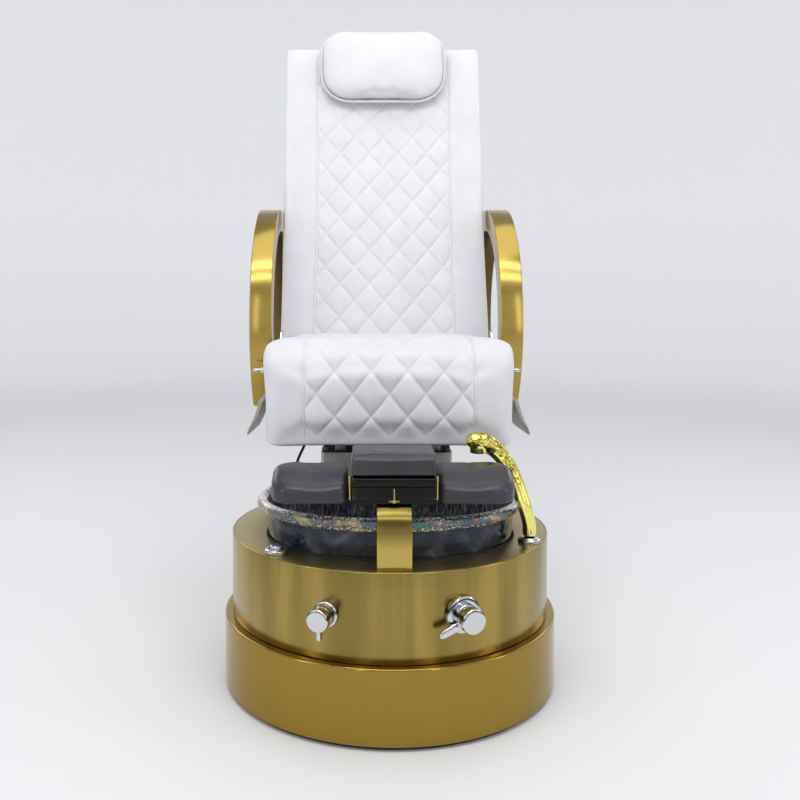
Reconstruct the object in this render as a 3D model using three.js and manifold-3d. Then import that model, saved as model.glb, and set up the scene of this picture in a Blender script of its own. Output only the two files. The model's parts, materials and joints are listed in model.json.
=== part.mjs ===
// Pedicure spa chair: a round two-tier gold base with a glass foot bowl, a padded foot rest on a post,
// and a reclining, swivelling quilted seat with ring-shaped armrests.
// Millimetres, +Z up, the client faces -Y, the origin is the middle of the base on the floor.
import * as THREE from "three";
import { mergeVertices } from "three/addons/utils/BufferGeometryUtils.js";
import Module from "manifold-3d";

const wasm = await Module();
wasm.setup();

// ---------------------------------------------------------------- driving dimensions
const GAP = 0.3; // clearance between pieces that rest on each other
const BASE = { plateRadius: 350, plateHeight: 8, wall: 4, segments: 60 };
const LOWER_DRUM = { radius: 360, top: 155 };
const UPPER_DRUM = { radius: 343.5, top: 329 };
const DECK = { thickness: 6.4 };
const BOWL = { centreY: -40, exponent: 2.25, points: 44, rimTop: 407, floor: 208, wall: 8 };
const DRAIN = { y: -90, radius: 22 };
const JET = { y: 30, radius: 40 };
const KNOB = { angle: THREE.MathUtils.degToRad(21.7), z: 245, bore: 10 };
const POST = { width: 66, front: -331.5, back: -268, top: 447 };
const FOOTREST = { halfWidth: 80, front: -305, back: -187, top: 500 };
const PAD = { inner: 87, outer: 240, front: -280, back: -145, bottom: 440, top: 500 };
const SHOWER = { x: 285, y: -140 };
const COLUMN = { width: 320, depth: 105, top: 451, y: 247.5 };
const SWIVEL_Y = 250;
const SEAT = { bottom: 505.3, top: 735, front: -15, headHalfWidth: 276, rearHalfWidth: 258, headDepth: 215 };
const BACK = { tilt: THREE.MathUtils.degToRad(16.3), y: 387.8, z: 620, length: 965, halfWidth: 278 };
const CUSHION_DEPTH = 95; // thickness of the backrest upholstery
const RECLINE_AXIS = { y: 460, z: 574 };
const RING = { radius: 310, y: 550, z: 755, flat: 210, band: 58, inner: 283, width: 55, points: 40 };
const TRAY = { x: 281.5, z: 593, front: 40, back: 205, length: 92, hang: THREE.MathUtils.degToRad(22) };

// ---------------------------------------------------------------- materials
const material = (color, roughness, metalness) => new THREE.MeshStandardMaterial({ color, roughness, metalness });
const BRUSHED_GOLD = material(0xa8873d, 0.35, 1);
const MIRROR_GOLD = material(0x9a7632, 0.12, 1);
const CHROME = material(0xc8cdcf, 0.1, 1);
const STEEL = material(0x4a4b4f, 0.5, 0.9);
const GLASS = material(0x4a5266, 0.1, 0);
const BLACK_PLASTIC = material(0x16161a, 0.25, 0);
const RUBBER = material(0x1c1c1e, 0.8, 0);
const DARK_LEATHER = material(0x2c2b30, 0.4, 0);
const WHITE_LEATHER = material(0xeceaee, 0.55, 0);
const WHITE_PAINT = material(0xe6e6e6, 0.4, 0);
const BEIGE_PAINT = material(0xaaa398, 0.5, 0);
const TAUPE_PLASTIC = material(0x8d897a, 0.5, 0);
const GREY_PLASTIC = material(0x7c7f83, 0.6, 0);
const SHOWER_GOLD = material(0xcbb83c, 0.15, 1);

// ---------------------------------------------------------------- geometry helpers
const chair = new THREE.Group();
const SIDES = { left: -1, right: 1 };
const vector = (point) => new THREE.Vector3(...point);

// Keeps only positions, merges equal vertices and turns the faces outward.
function closed(geometry) {
  const source = geometry.index ? geometry.toNonIndexed() : geometry;
  const bare = new THREE.BufferGeometry().setAttribute("position", source.getAttribute("position"));
  const merged = mergeVertices(bare, 1e-4);
  const position = merged.getAttribute("position");
  const index = merged.index.array;
  const [a, b, c] = [new THREE.Vector3(), new THREE.Vector3(), new THREE.Vector3()];
  let volume = 0;
  for (let i = 0; i < index.length; i += 3) {
    a.fromBufferAttribute(position, index[i]);
    b.fromBufferAttribute(position, index[i + 1]);
    c.fromBufferAttribute(position, index[i + 2]);
    volume += a.dot(b.cross(c));
  }
  if (volume < 0) merged.setIndex([...index].reverse());
  return merged;
}

function toSolid(geometry) {
  const merged = closed(geometry);
  const vertProperties = merged.getAttribute("position").array;
  return new wasm.Manifold(
    new wasm.Mesh({ numProp: 3, vertProperties, triVerts: new Uint32Array(merged.index.array) }),
  );
}

function toGeometry(solid) {
  const mesh = solid.getMesh();
  const geometry = new THREE.BufferGeometry();
  geometry.setAttribute("position", new THREE.BufferAttribute(mesh.vertProperties, 3));
  return geometry.setIndex(new THREE.BufferAttribute(mesh.triVerts, 1));
}

const combine = (how, first, others) =>
  toGeometry(others.reduce((solid, other) => solid[how](toSolid(other)), toSolid(first)));
const cut = (body, ...tools) => combine("subtract", body, tools);
const join = (body, ...others) => combine("add", body, others);
const common = (body, ...others) => combine("intersect", body, others);

// A solid of revolution about Z from [radius, z] points.
function turned(profile, segments = 24) {
  const points = profile.map(([radius, z]) => new THREE.Vector2(radius, z));
  return closed(new THREE.LatheGeometry(points, segments).rotateX(Math.PI / 2));
}

// A ring or tube of revolution: the profile closes on itself.
const turnedRing = (profile, segments) => turned([...profile, profile[0]], segments);

function outline(points) {
  return new THREE.Shape(points.map(([x, y]) => new THREE.Vector2(x, y)));
}

function roundedRectangle(width, depth, radius) {
  const shape = new THREE.Shape();
  const [x, y] = [width / 2 - radius, depth / 2 - radius];
  shape.absarc(x, y, radius, 0, Math.PI / 2);
  shape.absarc(-x, y, radius, Math.PI / 2, Math.PI);
  shape.absarc(-x, -y, radius, Math.PI, 1.5 * Math.PI);
  shape.absarc(x, -y, radius, 1.5 * Math.PI, 2 * Math.PI);
  return shape;
}

// A shape in the XY plane given a height along Z, from z = 0, with softened edges if bevel is set.
function prism(shape, height, bevel = 0, curveSegments = 4) {
  const geometry = new THREE.ExtrudeGeometry(shape, {
    depth: height - 2 * bevel,
    curveSegments,
    bevelEnabled: bevel > 0,
    bevelThickness: bevel,
    bevelSize: bevel,
    bevelOffset: -bevel,
    bevelSegments: bevel > 5 ? 2 : 1,
  });
  return closed(geometry.translate(0, 0, bevel));
}

// A side view drawn as [y, z] and given a width along X, centred on x = 0.
function sideProfile(shape, width, bevel = 0, curveSegments = 4) {
  const basis = new THREE.Matrix4().makeBasis(vector([0, 1, 0]), vector([0, 0, 1]), vector([1, 0, 0]));
  return prism(shape, width, bevel, curveSegments).translate(0, 0, -width / 2).applyMatrix4(basis);
}

const rod = (radius, height, segments = 20) =>
  turned([[0, 0], [radius, 0], [radius, height], [0, height]], segments);

// A rod along X that starts at x = from.
const rodAlongX = (radius, from, to, segments) =>
  rod(radius, to - from, segments).rotateY(Math.PI / 2).translate(from, 0, 0);

const block = (width, depth, height) => new THREE.BoxGeometry(width, depth, height);

// A skin through rings of points. It is capped at both ends, or runs back into its first ring.
function loft(rings, ringToRing = false) {
  const count = rings[0].length;
  const positions = rings.flat(2);
  const faces = [];
  const spans = ringToRing ? rings.length : rings.length - 1;
  for (let i = 0; i < spans; i++) {
    const [low, high] = [i * count, ((i + 1) % rings.length) * count];
    for (let j = 0; j < count; j++) {
      const k = (j + 1) % count;
      faces.push(low + j, low + k, high + k, low + j, high + k, high + j);
    }
  }
  if (!ringToRing) {
    for (const [ring, start, flip] of [[rings[0], 0, true], [rings.at(-1), (rings.length - 1) * count, false]]) {
      const middle = positions.length / 3;
      positions.push(...[0, 1, 2].map((axis) => ring.reduce((sum, p) => sum + p[axis], 0) / count));
      for (let j = 0; j < count; j++) {
        const edge = [start + j, start + ((j + 1) % count)];
        faces.push(...(flip ? edge.reverse() : edge), middle);
      }
    }
  }
  const geometry = new THREE.BufferGeometry();
  geometry.setAttribute("position", new THREE.Float32BufferAttribute(positions, 3));
  return closed(geometry.setIndex(faces));
}

// A closed curve between an ellipse and a rounded rectangle.
function superellipse(halfWidth, halfDepth, exponent, count) {
  const power = (value) => Math.sign(value) * Math.abs(value) ** (2 / exponent);
  return Array.from({ length: count }, (_, i) => {
    const angle = (2 * Math.PI * i) / count;
    return [halfWidth * power(Math.cos(angle)), halfDepth * power(Math.sin(angle))];
  });
}

// A round bar whose centre line passes through the points, each with its own radius.
function taperedBar(stations, sides = 14) {
  const path = new THREE.CatmullRomCurve3(stations.map(({ at }) => vector(at)));
  const rings = stations.map(({ radius }, i) => {
    const share = i / (stations.length - 1);
    const [centre, tangent] = [path.getPoint(share), path.getTangent(share)];
    const across = new THREE.Vector3(0, 1, 0).cross(tangent).normalize();
    const up = tangent.clone().cross(across);
    return Array.from({ length: sides }, (_, j) => {
      const angle = (2 * Math.PI * j) / sides;
      const offset = across.clone().multiplyScalar(Math.cos(angle)).addScaledVector(up, Math.sin(angle));
      return centre.clone().addScaledVector(offset, radius).toArray();
    });
  });
  return loft(rings);
}

// A hose of one radius swept along a smooth path.
function hose(points, radius, steps) {
  const section = new THREE.Shape().absarc(0, 0, radius, 0, 2 * Math.PI);
  const extrudePath = new THREE.CatmullRomCurve3(points.map(vector));
  return closed(new THREE.ExtrudeGeometry(section, { steps, curveSegments: 4, extrudePath, bevelEnabled: false }));
}

function piece(parent, name, geometry, look, x = 0, y = 0, z = 0) {
  const mesh = new THREE.Mesh(geometry, look);
  mesh.name = name;
  mesh.position.set(x, y, z);
  parent.add(mesh);
  return mesh;
}

function group(parent, x = 0, y = 0, z = 0) {
  const made = new THREE.Group();
  made.position.set(x, y, z);
  parent.add(made);
  return made;
}

// A frame on the drum wall whose local +Z points straight out of the wall.
function wallFrame(angle, radius, z) {
  const turn = group(chair, 0, 0, z);
  turn.rotation.z = angle;
  const face = group(turn, 0, -radius, 0);
  face.rotation.x = Math.PI / 2;
  return face;
}

// ---------------------------------------------------------------- base and bowl
function makeDrums() {
  const plate = rod(BASE.plateRadius, BASE.plateHeight, BASE.segments);
  piece(chair, "base_plate", plate, RUBBER);

  const { radius: low, top: lowTop } = LOWER_DRUM;
  const foot = BASE.plateHeight + GAP;
  const ledge = 30;
  const flange = 18;
  const lowerWall = turnedRing([
    [low, foot], [low, lowTop - 3], [low - 3, lowTop], [low - ledge, lowTop], [low - ledge, lowTop - BASE.wall],
    [low - BASE.wall, lowTop - BASE.wall], [low - BASE.wall, foot + BASE.wall], [low - flange, foot + BASE.wall],
    [low - flange, foot],
  ], BASE.segments);
  const pipeExit = rod(23, 60).rotateX(-Math.PI / 2).translate(0, low - 40, 60);
  piece(chair, "lower_drum", cut(lowerWall, pipeExit), MIRROR_GOLD);

  const { radius: high, top: highTop } = UPPER_DRUM;
  const seam = lowTop + GAP;
  const inside = high - BASE.wall;
  const seat = highTop - DECK.thickness - GAP;
  const upperWall = turnedRing([
    [high - 2.5, seam], [high, seam + 2.5], [high, highTop - 1.5], [high - 1.5, highTop], [inside, highTop],
    [inside, seat], [inside - 7.5, seat], [inside - 7.5, seat - BASE.wall], [inside, seat - BASE.wall],
    [inside, seam + BASE.wall], [inside - 8, seam + BASE.wall], [inside - 8, seam],
  ], BASE.segments);
  const bores = [-1, 1].map((side) =>
    rod(KNOB.bore, 30).rotateX(Math.PI / 2).translate(0, -inside + 10, KNOB.z).rotateZ(side * KNOB.angle),
  );
  piece(chair, "upper_drum", cut(upperWall, ...bores), BRUSHED_GOLD);
}

const bowlRing = (halfWidth, halfDepth, z) =>
  superellipse(halfWidth, halfDepth, BOWL.exponent, BOWL.points).map(([x, y]) => [x, y + BOWL.centreY, z]);

const BOWL_AT_DECK = { halfWidth: 261, halfDepth: 217 };

function makeDeck() {
  const clearance = 5;
  const plate = new THREE.Shape().absarc(0, 0, UPPER_DRUM.radius - BASE.wall - GAP, 0, 2 * Math.PI);
  const opening = superellipse(
    BOWL_AT_DECK.halfWidth + clearance, BOWL_AT_DECK.halfDepth + clearance, BOWL.exponent, BOWL.points);
  plate.holes.push(outline(opening.map(([x, y]) => [x, y + BOWL.centreY])));
  plate.holes.push(new THREE.Path().absarc(SHOWER.x, SHOWER.y, 11, 0, 2 * Math.PI));
  plate.holes.push(new THREE.Path().absarc(...BUTTON_AT, BUTTON_RADIUS + 1, 0, 2 * Math.PI));
  const deck = prism(plate, DECK.thickness, 0, BASE.segments / 2);
  piece(chair, "deck_plate", deck, BRUSHED_GOLD, 0, 0, UPPER_DRUM.top - DECK.thickness);
}

function makeBowl() {
  const rim = BOWL.rimTop;
  const skin = [
    [180, 128, BOWL.floor - BOWL.wall], [228, 172, 228], [255, 208, 296], [261, 217, 329], [265, 218.5, 376],
    [281, 221, 386], [286, 222, 395], [281, 218, rim], [266, 205, rim], [259, 204, 396], [255, 206, 368],
    [251, 208, 329], [246, 199, 296], [219, 163, 232], [178, 126, BOWL.floor],
  ];
  const shell = loft(skin.map(([halfWidth, halfDepth, z]) => bowlRing(halfWidth, halfDepth, z)));
  const drainHole = rod(DRAIN.radius, 30).translate(0, DRAIN.y, BOWL.floor - 20);
  piece(chair, "glass_bowl", cut(shell, drainHole), GLASS);

  const { halfWidth, halfDepth } = BOWL_AT_DECK;
  const [low, high] = [UPPER_DRUM.top - 6, UPPER_DRUM.top + 1.5];
  const gasket = loft([
    bowlRing(halfWidth + 1.5, halfDepth + 1.5, low), bowlRing(halfWidth + 4.5, halfDepth + 4.5, low),
    bowlRing(halfWidth + 4.5, halfDepth + 4.5, high), bowlRing(halfWidth + 1.5, halfDepth + 1.5, high),
  ], true);
  piece(chair, "bowl_gasket", gasket, RUBBER);

  const cradleHeight = BOWL.floor - BOWL.wall - BASE.plateHeight - 2 * GAP;
  const wall = turnedRing([[140, 0], [150, 0], [150, cradleHeight], [140, cradleHeight]], 40);
  const rearOpening = block(120, 200, cradleHeight * 2).translate(0, 150, 0);
  piece(chair, "bowl_support", cut(wall, rearOpening), GREY_PLASTIC, 0, BOWL.centreY, BASE.plateHeight + GAP);
}

function makePlumbing() {
  const stem = DRAIN.radius - 1;
  const underFloor = BOWL.floor - BOWL.wall - 12;
  const strainer = turned([
    [0, BOWL.floor - 6], [stem - 3, BOWL.floor - 6], [stem - 3, underFloor], [stem, underFloor],
    [stem, BOWL.floor + GAP], [30, BOWL.floor + GAP], [28, BOWL.floor + 3], [0, BOWL.floor + 4],
  ]);
  const grateHoles = [0, 1, 2, 3, 4, 5].map((i) =>
    rod(4, 40, 8).translate(11, 0, BOWL.floor - 20).rotateZ((i * Math.PI) / 3),
  );
  piece(chair, "drain_strainer", cut(strainer, ...grateHoles), CHROME, 0, DRAIN.y, 0);

  const pipe = hose([
    [0, DRAIN.y, underFloor - GAP], [0, DRAIN.y, 110], [0, DRAIN.y + 45, 62], [0, 60, 60], [0, 250, 60], [0, 390, 60],
  ], 19, 26);
  piece(chair, "drain_pipe", pipe, GREY_PLASTIC);

  const pump = join(rod(42, 110), block(60, 100, 14).translate(0, 0, 7), rod(14, 40).translate(0, 0, 100));
  piece(chair, "drain_pump", pump, BLACK_PLASTIC, -205, 130, BASE.plateHeight + GAP);

  const cap = turnedRing([
    [JET.radius, 0], [JET.radius - 4, 9], [26, 14], [8, 15], [8, 12], [24, 11], [JET.radius - 9, 6],
    [JET.radius - 9, 0],
  ], 28);
  piece(chair, "jet_cap", cap, CHROME, 0, JET.y, BOWL.floor + GAP);
  const motor = join(rod(44, 60), rod(34, 24).translate(0, 0, -22));
  piece(chair, "jet_motor", motor, BLACK_PLASTIC, 0, JET.y, BOWL.floor - BOWL.wall - 60 - GAP);
}

// ---------------------------------------------------------------- deck and wall fittings
const BUTTON_AT = [-230, -212];
const BUTTON_RADIUS = 14;

function makeAirButton() {
  const bezel = turnedRing([
    [25, 0], [25, 4], [22, 8], [BUTTON_RADIUS + 1, 9], [BUTTON_RADIUS + 1, 0],
  ], 28);
  piece(chair, "air_button_bezel", bezel, CHROME, ...BUTTON_AT, UPPER_DRUM.top + GAP);
  const button = turned([
    [0, 0], [BUTTON_RADIUS, 0], [BUTTON_RADIUS, 13], [BUTTON_RADIUS - 3, 16], [0, 17],
  ]);
  piece(chair, "air_button", button, CHROME, ...BUTTON_AT, UPPER_DRUM.top - 2);
}

function makeMixer() {
  const face = wallFrame(KNOB.angle, UPPER_DRUM.radius + GAP, KNOB.z);
  const escutcheon = turnedRing([[9, 0], [36, 0], [36, 4], [30, 9], [26, 10], [9, 10]], 28);
  piece(face, "mixer_escutcheon", escutcheon, CHROME);
  const stem = KNOB.bore - 2;
  const valve = turned([[0, -70], [22, -70], [22, -12], [stem, -12], [stem, 9], [0, 9]]);
  piece(face, "mixer_valve", valve, STEEL);
  const knob = turned([[0, 10.6], [24, 10.6], [24, 44], [21, 48], [0, 49]], 28);
  const fin = prism(outline([[-14, -7], [-52, -20], [-58, -30], [-50, -34], [-10, -20]]), 9, 1.5);
  piece(face, "mixer_handle", join(knob, fin.translate(0, 0, 14)), CHROME);
}

function makeDiverter() {
  const face = wallFrame(-KNOB.angle, UPPER_DRUM.radius + GAP, KNOB.z);
  const collar = turnedRing([[9, 0], [25, 0], [25, 5], [22, 10], [9, 10]], 28);
  piece(face, "diverter_collar", collar, CHROME);
  const stem = KNOB.bore - 2;
  const valve = turned([[0, -60], [18, -60], [18, -12], [stem, -12], [stem, 9], [0, 9]]);
  piece(face, "diverter_valve", valve, STEEL);
  const knob = turned([[0, 10.6], [21.5, 10.6], [21.5, 40], [19, 44], [0, 45]], 28);
  const tab = prism(roundedRectangle(7, 22, 3), 14, 1).translate(0, -28, 24);
  piece(face, "diverter_knob", join(knob, tab), CHROME);
}

function makeShower() {
  const collar = turnedRing([[10.5, 0], [23.5, 0], [23.5, 5], [19, 10], [10.5, 11]], 28);
  piece(chair, "shower_collar", collar, CHROME, SHOWER.x, SHOWER.y, UPPER_DRUM.top + GAP);
  const handle = taperedBar([
    { at: [SHOWER.x, SHOWER.y, 345], radius: 14 },
    { at: [283, -147, 364], radius: 13.5 },
    { at: [278, -155, 386], radius: 13.5 },
    { at: [271, -160, 409], radius: 14 },
    { at: [263, -157, 432], radius: 14.5 },
    { at: [255, -147, 456], radius: 15 },
    { at: [245, -135, 480], radius: 15.5 },
    { at: [230, -125, 503], radius: 16.5 },
    { at: [212, -120, 521], radius: 18 },
    { at: [194, -118, 531], radius: 19.5 },
    { at: [175, -118, 533], radius: 19.5 },
    { at: [160, -118, 529], radius: 12 },
  ]);
  const mouth = { x: 184, y: -118, z: 510 };
  const socket = rod(17.3, 14, 28).translate(mouth.x, mouth.y, mouth.z);
  const nozzle = rod(19.5, 22, 28).translate(mouth.x, mouth.y, mouth.z + 0.5);
  piece(chair, "hand_shower", cut(join(handle, nozzle), socket), SHOWER_GOLD);
  const plate = turned([[0, 0], [15, 0], [17, 1.5], [17, 13.5], [0, 13.5]], 28);
  piece(chair, "shower_face", plate, GREY_PLASTIC, mouth.x, mouth.y, mouth.z);
  piece(chair, "shower_hose", rod(7.5, 160, 16), CHROME, SHOWER.x, SHOWER.y, 341 - 160 - GAP);
}

// ---------------------------------------------------------------- foot rest
function makePost() {
  const { front, back, top, width } = POST;
  const side = new THREE.Shape();
  side.moveTo(back, UPPER_DRUM.top + GAP);
  side.lineTo(back, top);
  side.lineTo(front + 31, top);
  side.quadraticCurveTo(front + 2, top - 22, front, top - 48);
  side.lineTo(front, UPPER_DRUM.top + GAP);
  const mastPocket = block(54, 12, 120).translate(0, -282, top - 44);
  const post = cut(sideProfile(side, width, 1.5), mastPocket);
  piece(chair, "foot_post", post, BRUSHED_GOLD);
  piece(chair, "foot_mast", block(50, 8, 98), STEEL, 0, -282, top - 49);
}

function makeFootrest() {
  const { halfWidth, front, back, top } = FOOTREST;
  const bottom = POST.top + GAP;
  const side = new THREE.Shape();
  side.moveTo(back, bottom);
  side.lineTo(back, top);
  side.lineTo(front + 14, top);
  side.quadraticCurveTo(front - 4, top, front - 2, top - 16);
  side.lineTo(front, top - 20);
  side.lineTo(front, bottom);
  piece(chair, "footrest_housing", sideProfile(side, 2 * halfWidth, 2), BLACK_PLASTIC);

  const line = block(2, 1.4, 26).translate(0, 0, 5);
  const bar = block(20, 1.4, 1.6).translate(0, 0, -6);
  const disc = rod(3.5, 1.6, 16).rotateX(Math.PI / 2).translate(0, 0.8, -6);
  piece(chair, "housing_trim", join(line, bar, disc), SHOWER_GOLD, 0, front - 1.2, bottom + 12);

  const pad = new THREE.Shape();
  const [low, high] = [top + GAP, top + 41];
  pad.moveTo(back, low);
  pad.lineTo(back, high - 8);
  pad.quadraticCurveTo(back, high, back - 8, high);
  pad.lineTo(front + 40, high);
  pad.quadraticCurveTo(front - 3, high - 2, front - 3, low);
  piece(chair, "centre_pad", sideProfile(pad, 2 * halfWidth, 6), DARK_LEATHER);
}

function makeFootPads() {
  const { inner, outer, front, back, bottom, top } = PAD;
  const [width, depth, corner] = [outer - inner, back - front, 42];
  const shape = new THREE.Shape();
  shape.moveTo(0, -depth / 2);
  shape.lineTo(width - corner, -depth / 2);
  shape.quadraticCurveTo(width, -depth / 2, width, -depth / 2 + corner);
  shape.lineTo(width, depth / 2 - corner);
  shape.quadraticCurveTo(width, depth / 2, width - corner, depth / 2);
  shape.lineTo(0, depth / 2);
  const pad = prism(shape, top - bottom, 9, 8);
  for (const [side, sign] of Object.entries(SIDES)) {
    const geometry = closed(pad.clone().scale(sign, 1, 1));
    piece(chair, `foot_pad_${side}`, geometry, DARK_LEATHER, sign * inner, (front + back) / 2, bottom);
    const pin = rod(2.8, top - bottom - 14, 12);
    piece(chair, `pad_hinge_${side}`, pin, SHOWER_GOLD, sign * (inner - 3.6), front + 8, bottom + 8);
  }
}

// ---------------------------------------------------------------- column, swivel and slide
function makeColumn() {
  const { width, depth, top, y } = COLUMN;
  const bottom = UPPER_DRUM.top + GAP;
  const shell = roundedRectangle(width, depth, 15);
  shell.holes.push(roundedRectangle(width - 8, depth - 8, 11));
  piece(chair, "column_shell", prism(shell, top - bottom), BEIGE_PAINT, 0, y, bottom);
  const lid = join(
    prism(roundedRectangle(width - 16, depth - 16, 10), 8),
    rod(38, top - bottom + 6, 28).translate(0, 0, bottom - top),
  );
  piece(chair, "column_top", lid, STEEL, 0, y, top + GAP);
  piece(chair, "swivel_bearing", rod(46, 6.4, 32), STEEL, 0, SWIVEL_Y, top + 8 + 2 * GAP);
}

const SWIVEL_PLATE_Z = COLUMN.top + 15.3;
const RAIL_Z = SWIVEL_PLATE_Z + 6.6 + GAP;
const PAN = { z: RAIL_Z + 15, height: 16, front: 85, back: 405, width: 500 };

function makeSwivelAndSlide() {
  piece(chair, "swivel_plate", prism(roundedRectangle(300, 200, 12), 6.6), STEEL, 0, SWIVEL_Y, SWIVEL_PLATE_Z);
  for (const [side, sign] of Object.entries(SIDES)) {
    const rail = block(24, 300, 14.6).translate(0, 0, 7.3);
    piece(chair, `slide_rail_${side}`, rail, STEEL, sign * 110, SWIVEL_Y, RAIL_Z);
  }
  const { z, height, front, back, width } = PAN;
  const board = prism(roundedRectangle(width, back - front, 25), height);
  const [footY, footZ] = [STRUT_FOOT.y, STRUT_FOOT.z];
  const lug = sideProfile(outline([
    [back - 60, z + 1], [footY - 40, footZ - 6], [footY - 4, footZ - 14], [footY + 12, footZ - 6],
    [footY + 12, footZ + 8], [footY - 4, footZ + 14], [back - 1, z + 1],
  ]), 30);
  const lugBore = rodAlongX(5.5, -30, 30, 16).translate(0, footY, footZ);
  const middle = (front + back) / 2;
  const pan = cut(join(board.translate(0, middle, z), lug), lugBore);
  piece(chair, "seat_pan", pan, STEEL);
}

// ---------------------------------------------------------------- seat and backrest
function makeSeat() {
  const { bottom, top, front, headHalfWidth, rearHalfWidth, headDepth } = SEAT;
  const [rearBottom, rearTop] = [355, 410];
  const profile = new THREE.Shape();
  profile.moveTo(rearBottom, bottom);
  profile.lineTo(rearTop, top - 8);
  profile.lineTo(rearTop - 10, top);
  profile.lineTo(front + 55, top);
  profile.quadraticCurveTo(front, top, front, top - 50);
  profile.lineTo(front, bottom);
  const head = prism(roundedRectangle(2 * headHalfWidth, headDepth, 38), 300)
    .translate(0, front + headDepth / 2, bottom - 20);
  const rear = block(2 * rearHalfWidth, 300, 300).translate(0, headDepth + 100, bottom + 100);
  const plan = join(head, rear);
  const cushion = common(sideProfile(profile, 2 * headHalfWidth, 10, 8), plan);
  piece(chair, "seat_cushion", cushion, WHITE_LEATHER);
}

function makeBackBrackets() {
  const { y, z } = RECLINE_AXIS;
  const foot = PAN.z + PAN.height + GAP;
  const plateX = 235;
  const hubLength = RING.inner - GAP - plateX;
  const plate = sideProfile(
    outline([[368, foot], [400, foot], [y + 17, z - 8], [y + 17, z + 14], [y - 16, z + 14], [y - 20, z - 12]]), 6);
  const pin = rodAlongX(8, -18, 0).translate(0, y, z);
  const hub = rodAlongX(19, 0, hubLength).translate(0, y, z);
  const bracket = join(plate, pin, hub).translate(plateX, 0, 0);
  for (const [side, sign] of Object.entries(SIDES)) {
    piece(chair, `back_bracket_${side}`, closed(bracket.clone().scale(sign, 1, 1)), CHROME);
  }
}

// The backrest frame: local z runs up the front face of the cushion, local y into its thickness.
function backFrame() {
  const frame = group(chair, 0, BACK.y, BACK.z);
  frame.rotation.x = -BACK.tilt;
  return frame;
}

const BACK_SHELL_DEPTH = 12;
const AXIS_IN_BACK = new THREE.Vector2(RECLINE_AXIS.y - BACK.y, RECLINE_AXIS.z - BACK.z)
  .rotateAround(new THREE.Vector2(), BACK.tilt);
const STRUT_TOP = { y: 140, z: 150 };
const STRUT_FOOT = { y: 470, z: 455 };
const STRUT_STROKE = 48; // free travel of the piston inside the tube

function makeBackrest() {
  const frame = backFrame();
  const panel = prism(roundedRectangle(2 * BACK.halfWidth, BACK.length, 26), CUSHION_DEPTH, 12)
    .rotateX(Math.PI / 2).translate(0, CUSHION_DEPTH, BACK.length / 2);
  piece(frame, "back_cushion", panel, WHITE_LEATHER);
  const shellHeight = BACK.length - 36;
  const shell = prism(roundedRectangle(2 * BACK.halfWidth - 24, shellHeight, 22), BACK_SHELL_DEPTH, 3)
    .rotateX(Math.PI / 2).translate(0, CUSHION_DEPTH + BACK_SHELL_DEPTH + GAP, BACK.length / 2);
  piece(frame, "back_shell", shell, WHITE_LEATHER);

  const rear = CUSHION_DEPTH + BACK_SHELL_DEPTH + 2 * GAP;
  const { x: axisY, y: axisZ } = AXIS_IN_BACK;
  const bridge = block(452, 8, 220).translate(0, rear + 4, 150);
  const arms = [-1, 1].map((sign) =>
    sideProfile(outline([
      [axisY - 14, axisZ - 14], [rear + 8, axisZ - 14], [rear + 8, 60], [rear, 60], [rear, axisZ + 16],
      [axisY - 14, axisZ + 12],
    ]), 8).translate(sign * 222, 0, 0),
  );
  const lug = block(30, 42, 28).translate(0, rear + 24, STRUT_TOP.z);
  const lugBore = rodAlongX(9, -30, 30, 16).translate(0, STRUT_TOP.y, STRUT_TOP.z);
  const pinBores = rodAlongX(8.5, -240, 240).translate(0, axisY, axisZ);
  piece(frame, "back_frame", cut(join(bridge, ...arms, lug), lugBore, pinBores), STEEL);
}

function makeHeadrest() {
  const frame = backFrame();
  const [width, height, depth] = [346, 215, 72];
  const [gap, low] = [0.6, 775];
  const pillow = prism(roundedRectangle(width, height, 55), depth, 20, 5)
    .rotateX(Math.PI / 2).translate(0, -gap, low + height / 2);
  piece(frame, "headrest_pillow", pillow, WHITE_LEATHER);
  const [top, rear, sheet] = [BACK.length + 3, CUSHION_DEPTH + BACK_SHELL_DEPTH + 4, 4];
  const strap = sideProfile(outline([
    [0, top], [0, top + 18], [rear * 0.3, top + 9], [rear + sheet, top + sheet], [rear + sheet, top - 150],
    [rear, top - 150], [rear, top],
  ]), 300);
  piece(frame, "headrest_strap", strap, WHITE_LEATHER);
}

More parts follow.
